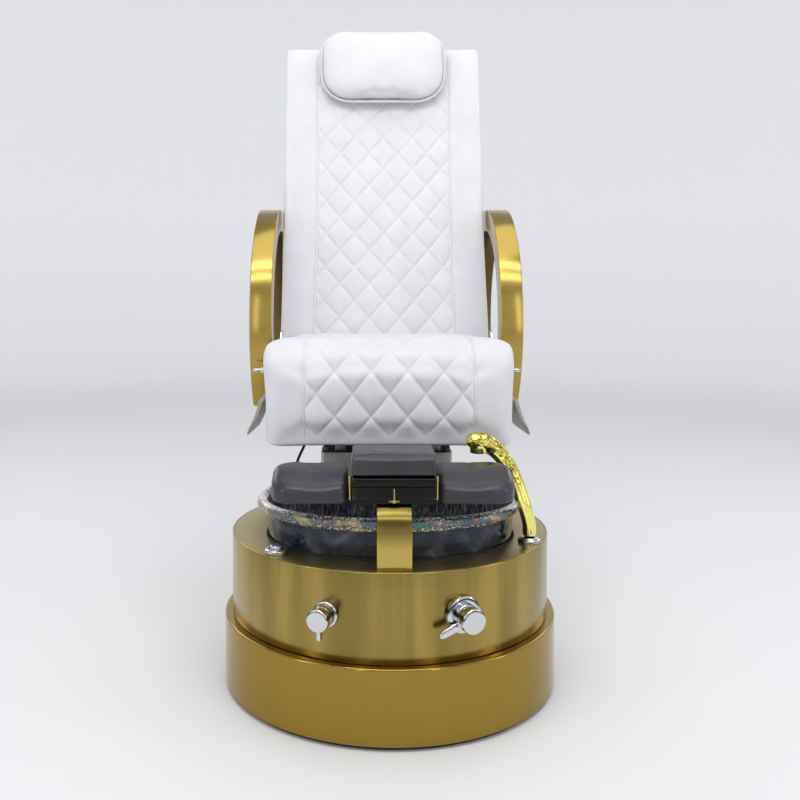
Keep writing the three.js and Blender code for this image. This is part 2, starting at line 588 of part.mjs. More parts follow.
function makeStrut() {
  const foot = new THREE.Vector2(STRUT_FOOT.y, STRUT_FOOT.z);
  const head = new THREE.Vector2(STRUT_TOP.y, STRUT_TOP.z).rotateAround(new THREE.Vector2(), -BACK.tilt)
    .add(new THREE.Vector2(BACK.y, BACK.z));
  const length = foot.distanceTo(head);
  const strut = group(chair, 0, foot.x, foot.y);
  strut.rotation.x = Math.atan2(head.y - foot.y, head.x - foot.x) - Math.PI / 2;
  const [tubeRadius, tubeEnd, rodRadius, inset] = [11, length - 70, 6, 150];
  const fork = (z) => [-1, 1].map((sign) => block(5, 18, 26).translate(sign * 18, 0, z));
  const pin = (z) => rodAlongX(5, -20, 20, 16).translate(0, 0, z);
  const body = turnedRing([
    [0, 26], [tubeRadius, 26], [tubeRadius, tubeEnd], [rodRadius + 1, tubeEnd], [rodRadius + 1, tubeEnd - inset],
    [0, tubeEnd - inset],
  ]);
  const lowerYoke = block(41, 18, 8).translate(0, 0, 24);
  const lowerFork = fork(8).map((cheek) => cheek.translate(0, 0, 2));
  piece(strut, "recline_strut_tube", join(body, lowerYoke, ...lowerFork, pin(0)), BLACK_PLASTIC);
  const upperYoke = block(41, 18, 8).translate(0, 0, length - 24);
  const upperFork = fork(length - 8).map((cheek) => cheek.translate(0, 0, -2));
  const pistonStart = tubeEnd - inset + STRUT_STROKE;
  const piston = rod(rodRadius, length - 26 - pistonStart).translate(0, 0, pistonStart);
  piece(strut, "recline_strut_rod", join(piston, upperYoke, ...upperFork, pin(length)), CHROME);
}

// ---------------------------------------------------------------- arms, trays and cable
// A circle cut off by a flat at the bottom, as [y, z] points round the ring centre.
function flattenedCircle(radius, flat, count) {
  const start = -Math.asin(flat / radius);
  const sweep = Math.PI - 2 * start;
  return Array.from({ length: count }, (_, i) => {
    const angle = start + (sweep * i) / (count - 1);
    return [radius * Math.cos(angle), radius * Math.sin(angle)];
  });
}

function makeArmrests() {
  const { radius, y, z, flat, band, inner, width } = RING;
  const shape = outline(flattenedCircle(radius, flat, RING.points));
  shape.holes.push(outline(flattenedCircle(radius - band, flat - band, RING.points)));
  for (const [side, sign] of Object.entries(SIDES)) {
    piece(chair, `armrest_${side}`, sideProfile(shape, width, 1.5), BRUSHED_GOLD, sign * (inner + width / 2), y, z);
  }
}

function makeSideFittings() {
  const strapSide = outline([[208, 492], [275, 492], [275, 738], [268, 745], [248, 745], [232, 700], [208, 640]]);
  const strap = sideProfile(strapSide, 3.4);
  const { x, z, front, back, length, hang } = TRAY;
  const leaf = outline([[0, 5.5], [-3, 3], [-3, -3], [0, -5.5], [length * 0.5, -4], [length, 0.5], [length, 3.5],
    [length * 0.5, 5]]);
  const leafAngle = Math.PI / 2 - hang;
  const tray = prism(leaf, back - front, 1).rotateX(-Math.PI / 2).rotateY(leafAngle);
  for (const [side, sign] of Object.entries(SIDES)) {
    piece(chair, `side_bracket_${side}`, strap, CHROME, sign * (SEAT.rearHalfWidth + 2.2), 0, 0);
    const arm = rodAlongX(6.5, 0, 65, 20);
    const armStart = SEAT.rearHalfWidth + 4.4;
    piece(chair, `tray_arm_${side}`, arm, WHITE_PAINT, sign > 0 ? armStart : -armStart - 65, 221, 649);
    const leafGeometry = closed(tray.clone().scale(sign, 1, 1));
    piece(chair, `tray_${side}`, leafGeometry, TAUPE_PLASTIC, sign * x, front, z);
  }
}

function makeCable() {
  const path = [[-196, 205, 486], [-200, 205, 468], [-216, 202, 432], [-226, 198, 385], [-226, 196, UPPER_DRUM.top + GAP]];
  piece(chair, "power_cable", hose(path, 3.5, 18), RUBBER);
}

makeDrums();
makeDeck();
makeBowl();
makePlumbing();
makeAirButton();
makeMixer();
makeDiverter();
makeShower();
makePost();
makeFootrest();
makeFootPads();
makeColumn();
makeSwivelAndSlide();
makeSeat();
makeBackBrackets();
makeBackrest();
makeHeadrest();
makeStrut();
makeArmrests();
makeSideFittings();
makeCable();

export default chair;
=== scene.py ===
"""Looks of the pedicure spa chair: upholstery, gold and chrome surfaces, glass bowl, studio and camera.

Every piece is built in the frame of the CAD part, in metres, and rides on one of its bodies.
"""

import json
import math

import bmesh
import bpy
import numpy as np
from mathutils import Matrix, Vector


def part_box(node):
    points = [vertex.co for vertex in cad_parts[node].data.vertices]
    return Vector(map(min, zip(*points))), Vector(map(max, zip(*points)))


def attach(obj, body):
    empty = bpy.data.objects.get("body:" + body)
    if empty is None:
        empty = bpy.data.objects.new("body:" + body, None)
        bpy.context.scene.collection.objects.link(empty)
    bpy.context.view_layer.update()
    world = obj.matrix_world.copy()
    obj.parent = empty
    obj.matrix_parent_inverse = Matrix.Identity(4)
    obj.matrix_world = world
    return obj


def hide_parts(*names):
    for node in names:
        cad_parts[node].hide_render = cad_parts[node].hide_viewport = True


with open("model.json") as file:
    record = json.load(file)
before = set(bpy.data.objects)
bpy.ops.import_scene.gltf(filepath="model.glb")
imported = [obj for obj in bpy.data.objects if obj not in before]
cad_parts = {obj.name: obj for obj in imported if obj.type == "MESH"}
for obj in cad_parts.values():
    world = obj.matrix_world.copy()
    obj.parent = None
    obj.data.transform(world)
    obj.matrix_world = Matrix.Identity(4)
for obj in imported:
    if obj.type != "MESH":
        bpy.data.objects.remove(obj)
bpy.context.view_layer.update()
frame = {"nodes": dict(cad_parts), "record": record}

BODY_OF = {node: body for body, nodes in frame["record"]["behaviour"]["bodies"].items() for node in nodes}
SIDES = {"left": -1, "right": 1}

# ---------------- sizes
BACK_TILT = math.radians(16.3)
BACK_FOOT = Vector((0, 0.3878, 0.620))
BACK_LENGTH = 0.965
BACK_DEPTH = 0.095
BOWL_EXPONENT = 2.25
BOWL_AT_DECK = (0.025, 0.005)  # how far the bowl is drawn in from its widest where it meets the deck
KNOB_ANGLE = math.radians(21.7)
KNOB_HEIGHT = 0.245
TRAY_HINGE = 0.2817
PILLOW = {"width": 0.343, "height": 0.211, "low": 0.775, "cad_height": 0.215, "depth": 0.066}
QUILT_CELL = 0.01005  # width of a cushion cell: eight make a diamond
SEAT_DIAMOND = (8 * QUILT_CELL, 0.1026)
BACK_DIAMOND = (8 * QUILT_CELL, 0.0948)
STRIP = 18.4 * QUILT_CELL  # half the width of the quilted strip
CURVE_POINTS = 160
CLOTH_FRAMES = 20
CLOTH = {
    "use_pressure": True, "uniform_pressure_force": 4.0, "tension_stiffness": 25,
    "compression_stiffness": 25, "shear_stiffness": 12, "bending_stiffness": 3,
}


# ---------------- materials
class Surface:
    """A Principled material and short ways to add textures to it."""

    def __init__(self, name, color, roughness, metallic=0.0, **inputs):
        self.material = bpy.data.materials.new(name)
        self.material.use_nodes = True
        self.nodes = self.material.node_tree.nodes
        self.links = self.material.node_tree.links
        self.shader = self.nodes["Principled BSDF"]
        self.feed(Base_Color=color, Roughness=roughness, Metallic=metallic, **inputs)
        self.position = self.add("TexCoord").outputs["Object"]
        self.bumped = None

    def connect(self, value, socket):
        """Links an output to an input, or sets the input to a number, a vector or a colour."""
        if isinstance(value, bpy.types.NodeSocket):
            self.links.new(value, socket)
        elif socket.type == "RGBA":
            socket.default_value = (*value, 1.0)
        else:
            socket.default_value = value

    def fill(self, node, inputs):
        """Sets or links a node's inputs; an underscore stands for a space in their names."""
        for name, value in inputs.items():
            self.connect(value, node.inputs[name.replace("_", " ")])
        return node

    def add(self, kind, **inputs):
        return self.fill(self.nodes.new("ShaderNode" + kind), inputs)

    def feed(self, **inputs):
        self.fill(self.shader, inputs)

    def stretched(self, scale):
        return self.add("Mapping", Vector=self.position, Scale=scale).outputs["Vector"]

    def noise(self, scale, detail=3.0, stretch=(1, 1, 1), distortion=0.0):
        place = self.stretched(stretch)
        node = self.add("TexNoise", Vector=place, Scale=scale, Detail=detail, Distortion=distortion)
        return node.outputs["Fac"]

    def cells(self, scale, feature="F1", stretch=(1, 1, 1)):
        node = self.add("TexVoronoi", Vector=self.stretched(stretch), Scale=scale)
        node.feature = feature
        return node.outputs["Distance"]

    def remap(self, value, low, high, from_low=0.0, from_high=1.0):
        limits = {"To_Min": low, "To_Max": high, "From_Min": from_low, "From_Max": from_high}
        node = self.add("MapRange", Value=value, **limits)
        return node.outputs["Result"]

    def ramp(self, value, stops):
        node = self.add("ValToRGB", Fac=value)
        elements = node.color_ramp.elements
        while len(elements) < len(stops):
            elements.new(0.5)
        for element, (place, color) in zip(elements, stops):
            element.position = place
            element.color = (*color, 1.0)
        return node.outputs["Color"]

    def mix(self, share, first, second, blend="MIX"):
        node = self.add("Mix")
        node.data_type = "RGBA"
        node.blend_type = blend
        self.fill(node, {"Factor": share, "A": first, "B": second})
        return node.outputs["Result"]

    def calculate(self, operation, *values):
        node = self.add("Math")
        node.operation = operation
        for value, socket in zip(values, node.inputs):
            self.connect(value, socket)
        return node.outputs[0]

    def attribute(self, name):
        node = self.add("Attribute")
        node.attribute_name = name
        return node.outputs["Fac"]

    def component(self, vector, axis):
        return self.add("SeparateXYZ", Vector=vector).outputs[axis]

    def facing_sideways(self):
        """1 on faces that look along X, 0 on the others."""
        normal = self.add("TexCoord").outputs["Normal"]
        return self.remap(self.calculate("ABSOLUTE", self.component(normal, "X")), 0.0, 1.0, 0.85, 0.95)

    def bump(self, value, depth, strength=1.0):
        """Adds a bump of the given depth in metres on top of the earlier ones."""
        node = self.add("Bump", Height=value, Distance=depth, Strength=strength)
        if self.bumped:
            self.connect(self.bumped, node.inputs["Normal"])
        self.bumped = node.outputs["Normal"]
        self.feed(Normal=self.bumped)


def darkened(color, share):
    return tuple(share * channel for channel in color)


def leather(name, dark, light, roughness, grain=1.0, specular=0.45):
    """Grained upholstery with soft creases and slightly uneven shine."""
    surface = Surface(name, light, roughness, Specular_IOR_Level=specular)
    surface.feed(
        Base_Color=surface.ramp(surface.noise(14, 4), [(0.3, dark), (0.7, light)]),
        Roughness=surface.remap(surface.noise(40, 3), roughness - 0.07, roughness + 0.07),
    )
    surface.bump(surface.noise(26, 5, distortion=0.6), 0.0009 * grain, 0.5)
    surface.bump(surface.cells(720), 0.00022 * grain, 0.6)
    surface.bump(surface.noise(1500, 2), 0.00008 * grain, 0.5)
    return surface.material


def brushed_metal(name, color, shade, roughness, stretch,
                  depth=0.00004, painted_reflection_streaks=0.0, side=None, painted_dark_reflection=None):
    """Metal with fine parallel scratches: stretch is large across the scratches and small along them.

    painted_reflection_streaks darkens soft upright bands, a painted reflection of the surroundings;
    side, when those faces differ, is a paler colour painted on the faces that look along X, a painted
    reflection they catch;
    and painted_dark_reflection holds two heights, between which the metal turns dark, a painted reflection
    of the dark parts above.
    """
    surface = Surface(name, color, roughness, 1.0)
    lines = surface.noise(1.0, 4, stretch)
    face = surface.ramp(lines, [(0.25, shade), (0.75, color)])
    # Painted reflection: soft upright bands darkened into the colour stand for the surroundings reflected in
    # the metal.
    if painted_reflection_streaks:
        reflection_bands = surface.noise(1.0, 5, (13, 13, 0.8), 0.35)
        reflection_tone = surface.ramp(reflection_bands, [(0.38, (1 - painted_reflection_streaks,) * 3), (0.6, (1.0,) * 3)])
        face = surface.mix(1.0, face, reflection_tone, "MULTIPLY")
    # Painted reflection: faces that look along X get a paler colour for the bright reflection they catch.
    if side:
        face = surface.mix(surface.facing_sideways(), face, side)
    # Painted reflection: the metal turns dark towards the top, standing for the black parts reflected there.
    if painted_dark_reflection:
        share = surface.remap(surface.component(surface.position, "Z"), 0.0, 0.85, *painted_dark_reflection)
        face = surface.mix(share, face, darkened(color, 0.2))
    surface.feed(Base_Color=face, Roughness=surface.remap(lines, roughness - 0.05, roughness + 0.05))
    surface.bump(lines, depth, 0.6)
    surface.bump(surface.noise(5, 2), 0.0008, 0.25)
    return surface.material


def polished_metal(name, color, roughness, waviness=0.0003, horizon=None):
    """Mirror-like metal with faint wipe marks; horizon is the colour of the dark band it reflects, if any."""
    surface = Surface(name, color, roughness, 1.0)
    if horizon:
        level = surface.component(surface.add("TexCoord").outputs["Reflection"], "Z")
        stops = [(0.36, color), (0.46, horizon), (0.58, horizon), (0.68, color)]
        surface.feed(Base_Color=surface.ramp(surface.remap(level, 0.0, 1.0, -1.0, 1.0), stops))
    marks = surface.noise(60, 5, distortion=0.4)
    surface.feed(Roughness=surface.remap(marks, max(roughness - 0.03, 0.02), roughness + 0.05))
    surface.bump(surface.noise(7, 2), waviness, 0.4)
    surface.bump(surface.noise(900, 2), 0.00001, 0.3)
    return surface.material


def moulded_plastic(name, color, roughness, texture=0.00006, specular=0.5):
    """Plastic or paint with a fine moulding texture."""
    surface = Surface(name, color, roughness, Specular_IOR_Level=specular)
    surface.feed(
        Base_Color=surface.ramp(surface.noise(22, 3), [(0.35, darkened(color, 0.8)), (0.65, color)]),
        Roughness=surface.remap(surface.noise(90, 4), roughness - 0.05, roughness + 0.05),
    )
    surface.bump(surface.noise(1100, 3), texture, 0.6)
    return surface.material


def clouded_glass():
    """The dark body of the bowl: cloudy outside, and glittering with fine upright streaks inside."""
    surface = Surface("clouded_glass", (0.03, 0.035, 0.055), 0.08, Specular_IOR_Level=0.35)
    outside = surface.ramp(surface.noise(17, 2, (1, 1, 0.8), 0.9), [
        (0.34, (0.007, 0.010, 0.018)), (0.5, (0.016, 0.021, 0.036)), (0.6, (0.034, 0.042, 0.066)),
        (0.72, (0.110, 0.125, 0.175)),
    ])
    inside = surface.ramp(surface.noise(1.0, 5, (230, 230, 42)), [
        (0.32, (0.012, 0.013, 0.016)), (0.5, (0.075, 0.075, 0.085)), (0.64, (0.21, 0.21, 0.22)),
        (0.8, (0.62, 0.62, 0.64)),
    ])
    tint = surface.ramp(surface.noise(1.0, 2, (26, 26, 3)), [
        (0.36, (0.10, 0.20, 0.55)), (0.44, (0.5,) * 3), (0.56, (0.5,) * 3), (0.62, (0.08, 0.45, 0.40)),
        (0.70, (0.45, 0.20, 0.60)),
    ])
    inside = surface.mix(0.6, inside, surface.mix(1.0, inside, tint, "OVERLAY"))
    surface.feed(Base_Color=surface.mix(surface.attribute("inside"), outside, inside))
    surface.bump(surface.noise(28, 3, (1, 1, 0.5)), 0.004, 0.5)
    surface.bump(surface.cells(120, "DISTANCE_TO_EDGE", (1, 1, 0.5)), 0.0012, 0.35)
    return surface.material


def rainbow_glass():
    """Crackled glass of the rim: dark in the middle, with painted glints that crowd along its edges, and
    rainbow tints.
    """
    surface = Surface("rainbow_glass", (0.2, 0.2, 0.2), 0.05, IOR=1.5, Transmission_Weight=0.2,
                      Coat_Weight=0.5, Coat_Roughness=0.02, Thin_Film_IOR=1.8)
    film = surface.noise(6, 3, (1, 1, 2.5), 0.6)
    surface.feed(Thin_Film_Thickness=surface.remap(film, 180, 900, 0.3, 0.7))
    body = surface.ramp(surface.noise(6.5, 3, (1, 1, 2.2), 0.9), [
        (0.26, (0.26, 0.15, 0.46)), (0.34, (0.07, 0.15, 0.42)), (0.39, (0.055, 0.06, 0.065)),
        (0.58, (0.065, 0.07, 0.065)), (0.62, (0.42, 0.27, 0.09)), (0.66, (0.26, 0.30, 0.12)),
        (0.71, (0.03, 0.25, 0.22)), (0.78, (0.38, 0.17, 0.31)),
    ])
    near_edge = surface.remap(surface.attribute("edge"), 0.0, 0.20)
    # Painted glints: white specks mixed into the colour, thickest near the crest and the lower edge.
    painted_glints = surface.ramp(surface.calculate("ADD", surface.noise(230, 4), near_edge), [
        (0.57, (0.0,) * 3), (0.66, (0.25,) * 3), (0.74, (1.0,) * 3),
    ])
    surface.feed(Base_Color=surface.mix(painted_glints, body, (0.95, 0.96, 0.98)))
    surface.bump(surface.cells(210, "DISTANCE_TO_EDGE"), 0.0012, 0.6)
    surface.bump(surface.noise(60, 4), 0.003, 0.6)
    return surface.material


def embossed_gold(name, color, shade, roughness):
    """Bright plating with a raised relief on the head, plain towards the foot; the relief is painted with a
    darker shade colour.
    """
    surface = Surface(name, color, roughness, 1.0)
    relief = surface.cells(105, "SMOOTH_F1")
    head = surface.remap(surface.component(surface.position, "Z"), 0.0, 1.0, 0.43, 0.485)
    # Painted shade: the relief darkens away from its cell middles, standing for the dark reflections of the
    # polished relief.
    painted_relief_shade = surface.ramp(relief, [(0.1, color), (0.7, shade)])
    surface.feed(
        Base_Color=surface.mix(head, color, painted_relief_shade),
        Roughness=surface.remap(surface.noise(70, 3), roughness - 0.04, roughness + 0.06),
    )
    surface.bump(surface.calculate("MULTIPLY", relief, head), 0.0045, 0.6)
    surface.bump(surface.noise(45, 3), 0.0012, 0.35)
    return surface.material


GOLD = (0.40, 0.295, 0.085)
GOLD_SHADE = (0.375, 0.27, 0.073)
WHITE_LEATHER = leather("white_leather", (0.665, 0.66, 0.695), (0.715, 0.71, 0.74), 0.5)
REAR_LEATHER = leather("rear_leather", (0.70, 0.695, 0.725), (0.76, 0.755, 0.78), 0.55)
DARK_LEATHER = leather("dark_leather", (0.022, 0.0215, 0.026), (0.036, 0.035, 0.041), 0.3, 0.2, 0.5)
# The drum's darker upright bands are a painted reflection of the surroundings.
DRUM_GOLD = brushed_metal("drum_gold", GOLD, GOLD_SHADE, 0.22, (2, 2, 700), 0.00002, painted_reflection_streaks=0.34)
DECK_GOLD = brushed_metal("deck_gold", (0.45, 0.36, 0.15), (0.37, 0.295, 0.12), 0.33, (3, 900, 3))
# The post darkens towards its top: a painted reflection of the black housing and pads above it.
POST_GOLD = brushed_metal("post_gold", (0.54, 0.415, 0.105), (0.48, 0.365, 0.09), 0.2, (3, 3, 800),
                          painted_dark_reflection=(0.37, 0.412))
# The ring's paler colour on its faces that look along X is a painted reflection.
RING_GOLD = brushed_metal("ring_gold", (0.46, 0.335, 0.082), (0.39, 0.28, 0.065), 0.2, (3, 700, 700),
                          side=(0.45, 0.34, 0.13))
# Painted shade: a darker copy of the ring gold for its inner faces, standing for the shadow inside the ring.
RING_PAINTED_SHADE = brushed_metal("ring_painted_shade", (0.16, 0.115, 0.045), (0.11, 0.08, 0.03), 0.3, (3, 700, 700))
MIRROR_GOLD = polished_metal("mirror_gold", (0.33, 0.215, 0.042), 0.10, 0.0016)
SHOWER_GOLD = polished_metal("shower_gold", (0.94, 0.87, 0.27), 0.09)
RELIEF_GOLD = embossed_gold("relief_gold", (0.92, 0.84, 0.22), (0.40, 0.33, 0.06), 0.12)
BRASS = polished_metal("brass", (0.5, 0.4, 0.14), 0.2)
CHROME = polished_metal("chrome", (0.66, 0.68, 0.69), 0.05, horizon=(0.08, 0.08, 0.085))
STEEL = brushed_metal("steel", (0.34, 0.345, 0.35), (0.26, 0.265, 0.27), 0.38, (500, 8, 8))
BLACK_STEEL = moulded_plastic("black_steel", (0.018, 0.018, 0.02), 0.42)
GLOSS_BLACK = moulded_plastic("gloss_black", (0.004, 0.004, 0.004), 0.1, 0.00001, specular=0.22)
BLACK_PLASTIC = moulded_plastic("black_plastic", (0.02, 0.02, 0.022), 0.5)
RUBBER = moulded_plastic("rubber", (0.012, 0.012, 0.013), 0.75)
GREY_PLASTIC = moulded_plastic("grey_plastic", (0.2, 0.205, 0.215), 0.5)
FACE_PLATE = moulded_plastic("face_plate", (0.5, 0.49, 0.45), 0.45)
BEIGE_PAINT = moulded_plastic("beige_paint", (0.60, 0.56, 0.50), 0.45)
WHITE_PAINT = moulded_plastic("white_paint", (0.74, 0.74, 0.75), 0.3)
TAUPE = moulded_plastic("taupe", (0.42, 0.40, 0.345), 0.42)
BOARD = moulded_plastic("board", (0.05, 0.045, 0.04), 0.6)
BOWL_GLASS = clouded_glass()
RIM_GLASS = rainbow_glass()


# ---------------- pieces
def add_object(name, verts, faces):
    """A new mesh whose faces all look outward: turned over if its signed volume is negative."""
    mesh = bpy.data.meshes.new(name)
    mesh.from_pydata([tuple(v) for v in verts], [], faces)
    shape = bmesh.new()
    shape.from_mesh(mesh)
    if shape.calc_volume(signed=True) < 0:
        mesh.flip_normals()
    shape.free()
    obj = bpy.data.objects.new(name, mesh)
    bpy.context.scene.collection.objects.link(obj)
    return obj


def dress(obj, node, material):
    """Gives a piece its material, and lets it ride with a CAD node."""
    mesh = obj.data
    mesh.materials.clear()
    mesh.materials.append(material)
    mesh.polygons.foreach_set("use_smooth", [True] * len(mesh.polygons))
    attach(obj, BODY_OF[node])


def add_piece(name, node, part, material, place=None, sharp=35, bevel=0.0):
    """A piece that rides with a CAD node; part holds its vertices and faces, and place moves them."""
    verts, faces = moved(part, place) if place else part
    obj = add_object(name, verts, faces)
    if bevel:
        round_edges(obj, bevel, 3, 35)
        apply_modifiers(obj)
    dress(obj, node, material)
    obj.data.set_sharp_from_angle(angle=math.radians(sharp))
    return obj


def stand_for(node, part, material, place=None, **options):
    """The finished look of one CAD node, which it hides."""
    obj = add_piece(node + "_look", node, part, material, place, **options)
    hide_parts(node)
    return obj


def mark_points(obj, name, values):
    """Gives every point of a mesh a number that its material can read."""
    obj.data.attributes.new(name, "FLOAT", "POINT").data.foreach_set("value", np.asarray(values, np.float32))


def round_edges(obj, width, segments, angle):
    """Bevels the edges that turn by more than an angle in degrees."""
    bevel = obj.modifiers.new("edges", "BEVEL")
    bevel.width = width
    bevel.segments = segments
    bevel.limit_method = "ANGLE"
    bevel.angle_limit = math.radians(angle)


def apply_modifiers(obj):
    bpy.context.view_layer.update()
    graph = bpy.context.evaluated_depsgraph_get()
    finished = bpy.data.meshes.new_from_object(obj.evaluated_get(graph))
    obj.modifiers.clear()
    obj.data = finished


# ---------------- shapes
def moved(part, matrix):
    verts, faces = part
    return [matrix @ Vector(v) for v in verts], faces


def loft(rings, ring_to_ring=False):
    """A skin through rings of points: capped at both ends, or run back into its first ring."""
    count = len(rings[0])
    verts = [tuple(p) for ring in rings for p in ring]
    faces = []
    spans = len(rings) if ring_to_ring else len(rings) - 1
    for i in range(spans):
        low, high = i * count, (i + 1) % len(rings) * count
        for j in range(count):
            k = (j + 1) % count
            faces.append((low + j, low + k, high + k, high + j))
    if not ring_to_ring:
        last = (len(rings) - 1) * count
        faces.append(tuple(reversed(range(count))))
        faces.append(tuple(range(last, last + count)))
    return verts, faces


def full_turn(count):
    """Even angles once round."""
    return np.linspace(0, 2 * math.pi, count, endpoint=False)


def lathe(profile, segments=CURVE_POINTS, closed=True):
    """A solid of revolution about Z from (radius, z) points."""
    angles = full_turn(segments)
    return loft([[(r * math.cos(a), r * math.sin(a), z) for a in angles] for r, z in profile], closed)


def solid_lathe(profile, segments=64):
    """A solid of revolution whose first and last rings are capped."""
    return lathe(profile, segments, closed=False)


def superellipse(half_width, half_depth, exponent):
    points = []
    for angle in full_turn(CURVE_POINTS):
        c, s = math.cos(angle), math.sin(angle)
        points.append((half_width * math.copysign(abs(c) ** (2 / exponent), c),
                       half_depth * math.copysign(abs(s) ** (2 / exponent), s)))
    return points


def slab(outline, low, high):
    """An outline of (x, y) points given thickness along Z."""
    return loft([[(x, y, z) for x, y in outline] for z in (low, high)])


def side_slab(outline, left, right):
    """A side view of (y, z) points given width along X."""
    return loft([[(x, y, z) for y, z in outline] for x in (left, right)])


def arc(centre, radius, start, end, count=8):
    """Points on an arc, angles in degrees."""
    angles = np.radians(np.linspace(start, end, count + 1))
    return [(centre[0] + radius * math.cos(a), centre[1] + radius * math.sin(a)) for a in angles]


def curve_points(points, steps):
    """A smooth Catmull-Rom curve through points of any dimension."""
    p = np.array([points[0], *points, points[-1]], float)
    out = []
    for i in range(1, len(p) - 2):
        a, b, c, d = p[i - 1:i + 3]
        for t in np.arange(steps) / steps:
            out.append(0.5 * (2 * b + (c - a) * t + (2 * a - 5 * b + 4 * c - d) * t**2
                              + (3 * b - a - 3 * c + d) * t**3))
    out.append(p[-2])
    return np.array(out)


def tube(path, radii, sides=16, closed=False):
    """A round bar along a path, with one radius or one for each point."""
    path = np.array(path, float)
    radii = np.broadcast_to(radii, len(path))
    ahead = np.roll(path, -1, 0) if closed else np.vstack([path[1:], 2 * path[-1] - path[-2]])
    behind = np.roll(path, 1, 0) if closed else np.vstack([2 * path[0] - path[1], path[:-1]])
    rings = []
    up = None
    for point, direction, radius in zip(path, ahead - behind, radii):
        tangent = Vector(direction).normalized()
        if up is None:
            up = tangent.orthogonal().normalized()
        up = (up - tangent * up.dot(tangent)).normalized()
        side = tangent.cross(up)
        rings.append([Vector(point) + float(radius) * (math.cos(a) * up + math.sin(a) * side)
                      for a in full_turn(sides)])
    return loft(rings, closed)


def run_lengths(points):
    """How far along an open run of points each one lies."""
    return np.concatenate([[0], np.cumsum(np.linalg.norm(np.diff(points, axis=0), axis=1))])


def divide(points, count):
    """Even points along an open run, without its last one."""
    points = np.array(points, float)
    lengths = run_lengths(points)
    places = np.linspace(0, lengths[-1], count + 1)[:-1]
    return [(np.interp(s, lengths, points[:, 0]), np.interp(s, lengths, points[:, 1])) for s in places]


def resample(points, spacing):
    return divide(points, max(2, round(run_lengths(points)[-1] / spacing)))


def spread(points, count):
    """Even points round a closed outline."""
    return divide([*points, points[0]], count)


def rounded_outline(width, height, *radii):
    """A rectangle about the origin with one corner radius, or four, anticlockwise from the lower right."""
    signs = [(1, -1), (1, 1), (-1, 1), (-1, -1)]
    points = []
    for (sx, sy), radius, start in zip(signs, np.broadcast_to(radii, 4), (-90, 0, 90, 180)):
        centre = (sx * (width / 2 - radius), sy * (height / 2 - radius))
        points += arc(centre, radius, start, start + 90, 7)
    return spread(points, 72)


def middle_of(node):
    """The middle of a CAD node's box in plan."""
    low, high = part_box(node)
    return (low.x + high.x) / 2, (low.y + high.y) / 2


def on_foot(node, lift=0.0):
    """Places a piece on the middle of the underside of a CAD node."""
    return Matrix.Translation((*middle_of(node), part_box(node)[0].z + lift))


def on_back(x, y, z, quarter_turns):
    """Places a piece in the backrest's own frame: x across, y into its thickness, z up its front face."""
    back = Matrix.Translation(BACK_FOOT) @ Matrix.Rotation(-BACK_TILT, 4, "X")
    return back @ Matrix.Translation((x, y, z)) @ Matrix.Rotation(quarter_turns * math.pi / 2, 4, "X")


def on_wall(angle, radius, height):
    """Places a fitting on the drum wall, its local Z pointing straight out."""
    return (Matrix.Rotation(angle, 4, "Z") @ Matrix.Translation((0, -radius, height))
            @ Matrix.Rotation(math.pi / 2, 4, "X"))


# ---------------- upholstery
def read_vectors(items, name):
    """One row of three numbers for each item of a mesh."""
    values = np.empty(len(items) * 3)
    items.foreach_get(name, values)
    return values.reshape(-1, 3)


def place_points(mesh, points):
    mesh.vertices.foreach_set("co", points.astype(np.float32).ravel())
    mesh.update()


def inflate(obj, limit):
    """Swells a cushion with cloth pressure and caps how far each point moves."""
    rest = read_vectors(obj.data.vertices, "co")
    cloth = obj.modifiers.new("cloth", "CLOTH")
    for name, value in CLOTH.items():
        setattr(cloth.settings, name, value)
    cloth.settings.effector_weights.gravity = 0
    cloth.point_cache.frame_end = CLOTH_FRAMES
    for number in range(1, CLOTH_FRAMES + 1):
        bpy.context.scene.frame_set(number)
    graph = bpy.context.evaluated_depsgraph_get()
    shift = read_vectors(obj.evaluated_get(graph).data.vertices, "co") - rest
    obj.modifiers.remove(cloth)
    bpy.context.scene.frame_set(1)
    length = np.linalg.norm(shift, axis=1, keepdims=True)
    place_points(obj.data, rest + shift * np.minimum(1.0, limit / np.maximum(length, 1e-9)))


def subdivide(obj):
    modifier = obj.modifiers.new("smooth", "SUBSURF")
    modifier.levels = 2
    apply_modifiers(obj)


def smooth_step(value, low, high):
    t = np.clip((value - low) / (high - low), 0, 1)
    return t * t * (3 - 2 * t)


def groove(distance, width):
    """1 on a stitch line, falling to 0 over its width."""
    return np.exp(-((distance / width) ** 2))


def quilt(across, along, width, height):
    """How full each diamond is, 0 on its stitch lines to 1, and how deep the stitched crease is there."""
    first = across / width + along / height
    second = across / width - along / height
    fullness = np.sqrt(np.abs(np.sin(math.pi * first) * np.sin(math.pi * second)))
    spacing = width * height / math.hypot(width, height)
    nearest = np.minimum(np.abs(first - np.round(first)), np.abs(second - np.round(second))) * spacing
    return fullness, groove(nearest, 0.0036)


def stitching(flat, diamond, puff, crease):
    """Heights of the diamond quilting and of the double seams at its sides, for points' flat coordinates."""
    across, along, quilted = flat.T
    strip = quilted * smooth_step(STRIP - np.abs(across), -0.001, 0.003)
    fullness, stitches = quilt(across, along, *diamond)
    heights = strip * (puff * (fullness - 0.5) - crease * stitches)
    sewn = smooth_step(quilted, 0.0, 0.2)
    for offset in (0.001, 0.0062):
        heights -= 0.0016 * sewn * groove(np.abs(across) - STRIP - offset, 0.0012)
    return heights + 0.0008 * sewn * groove(np.abs(across) - STRIP - 0.0036, 0.0015)


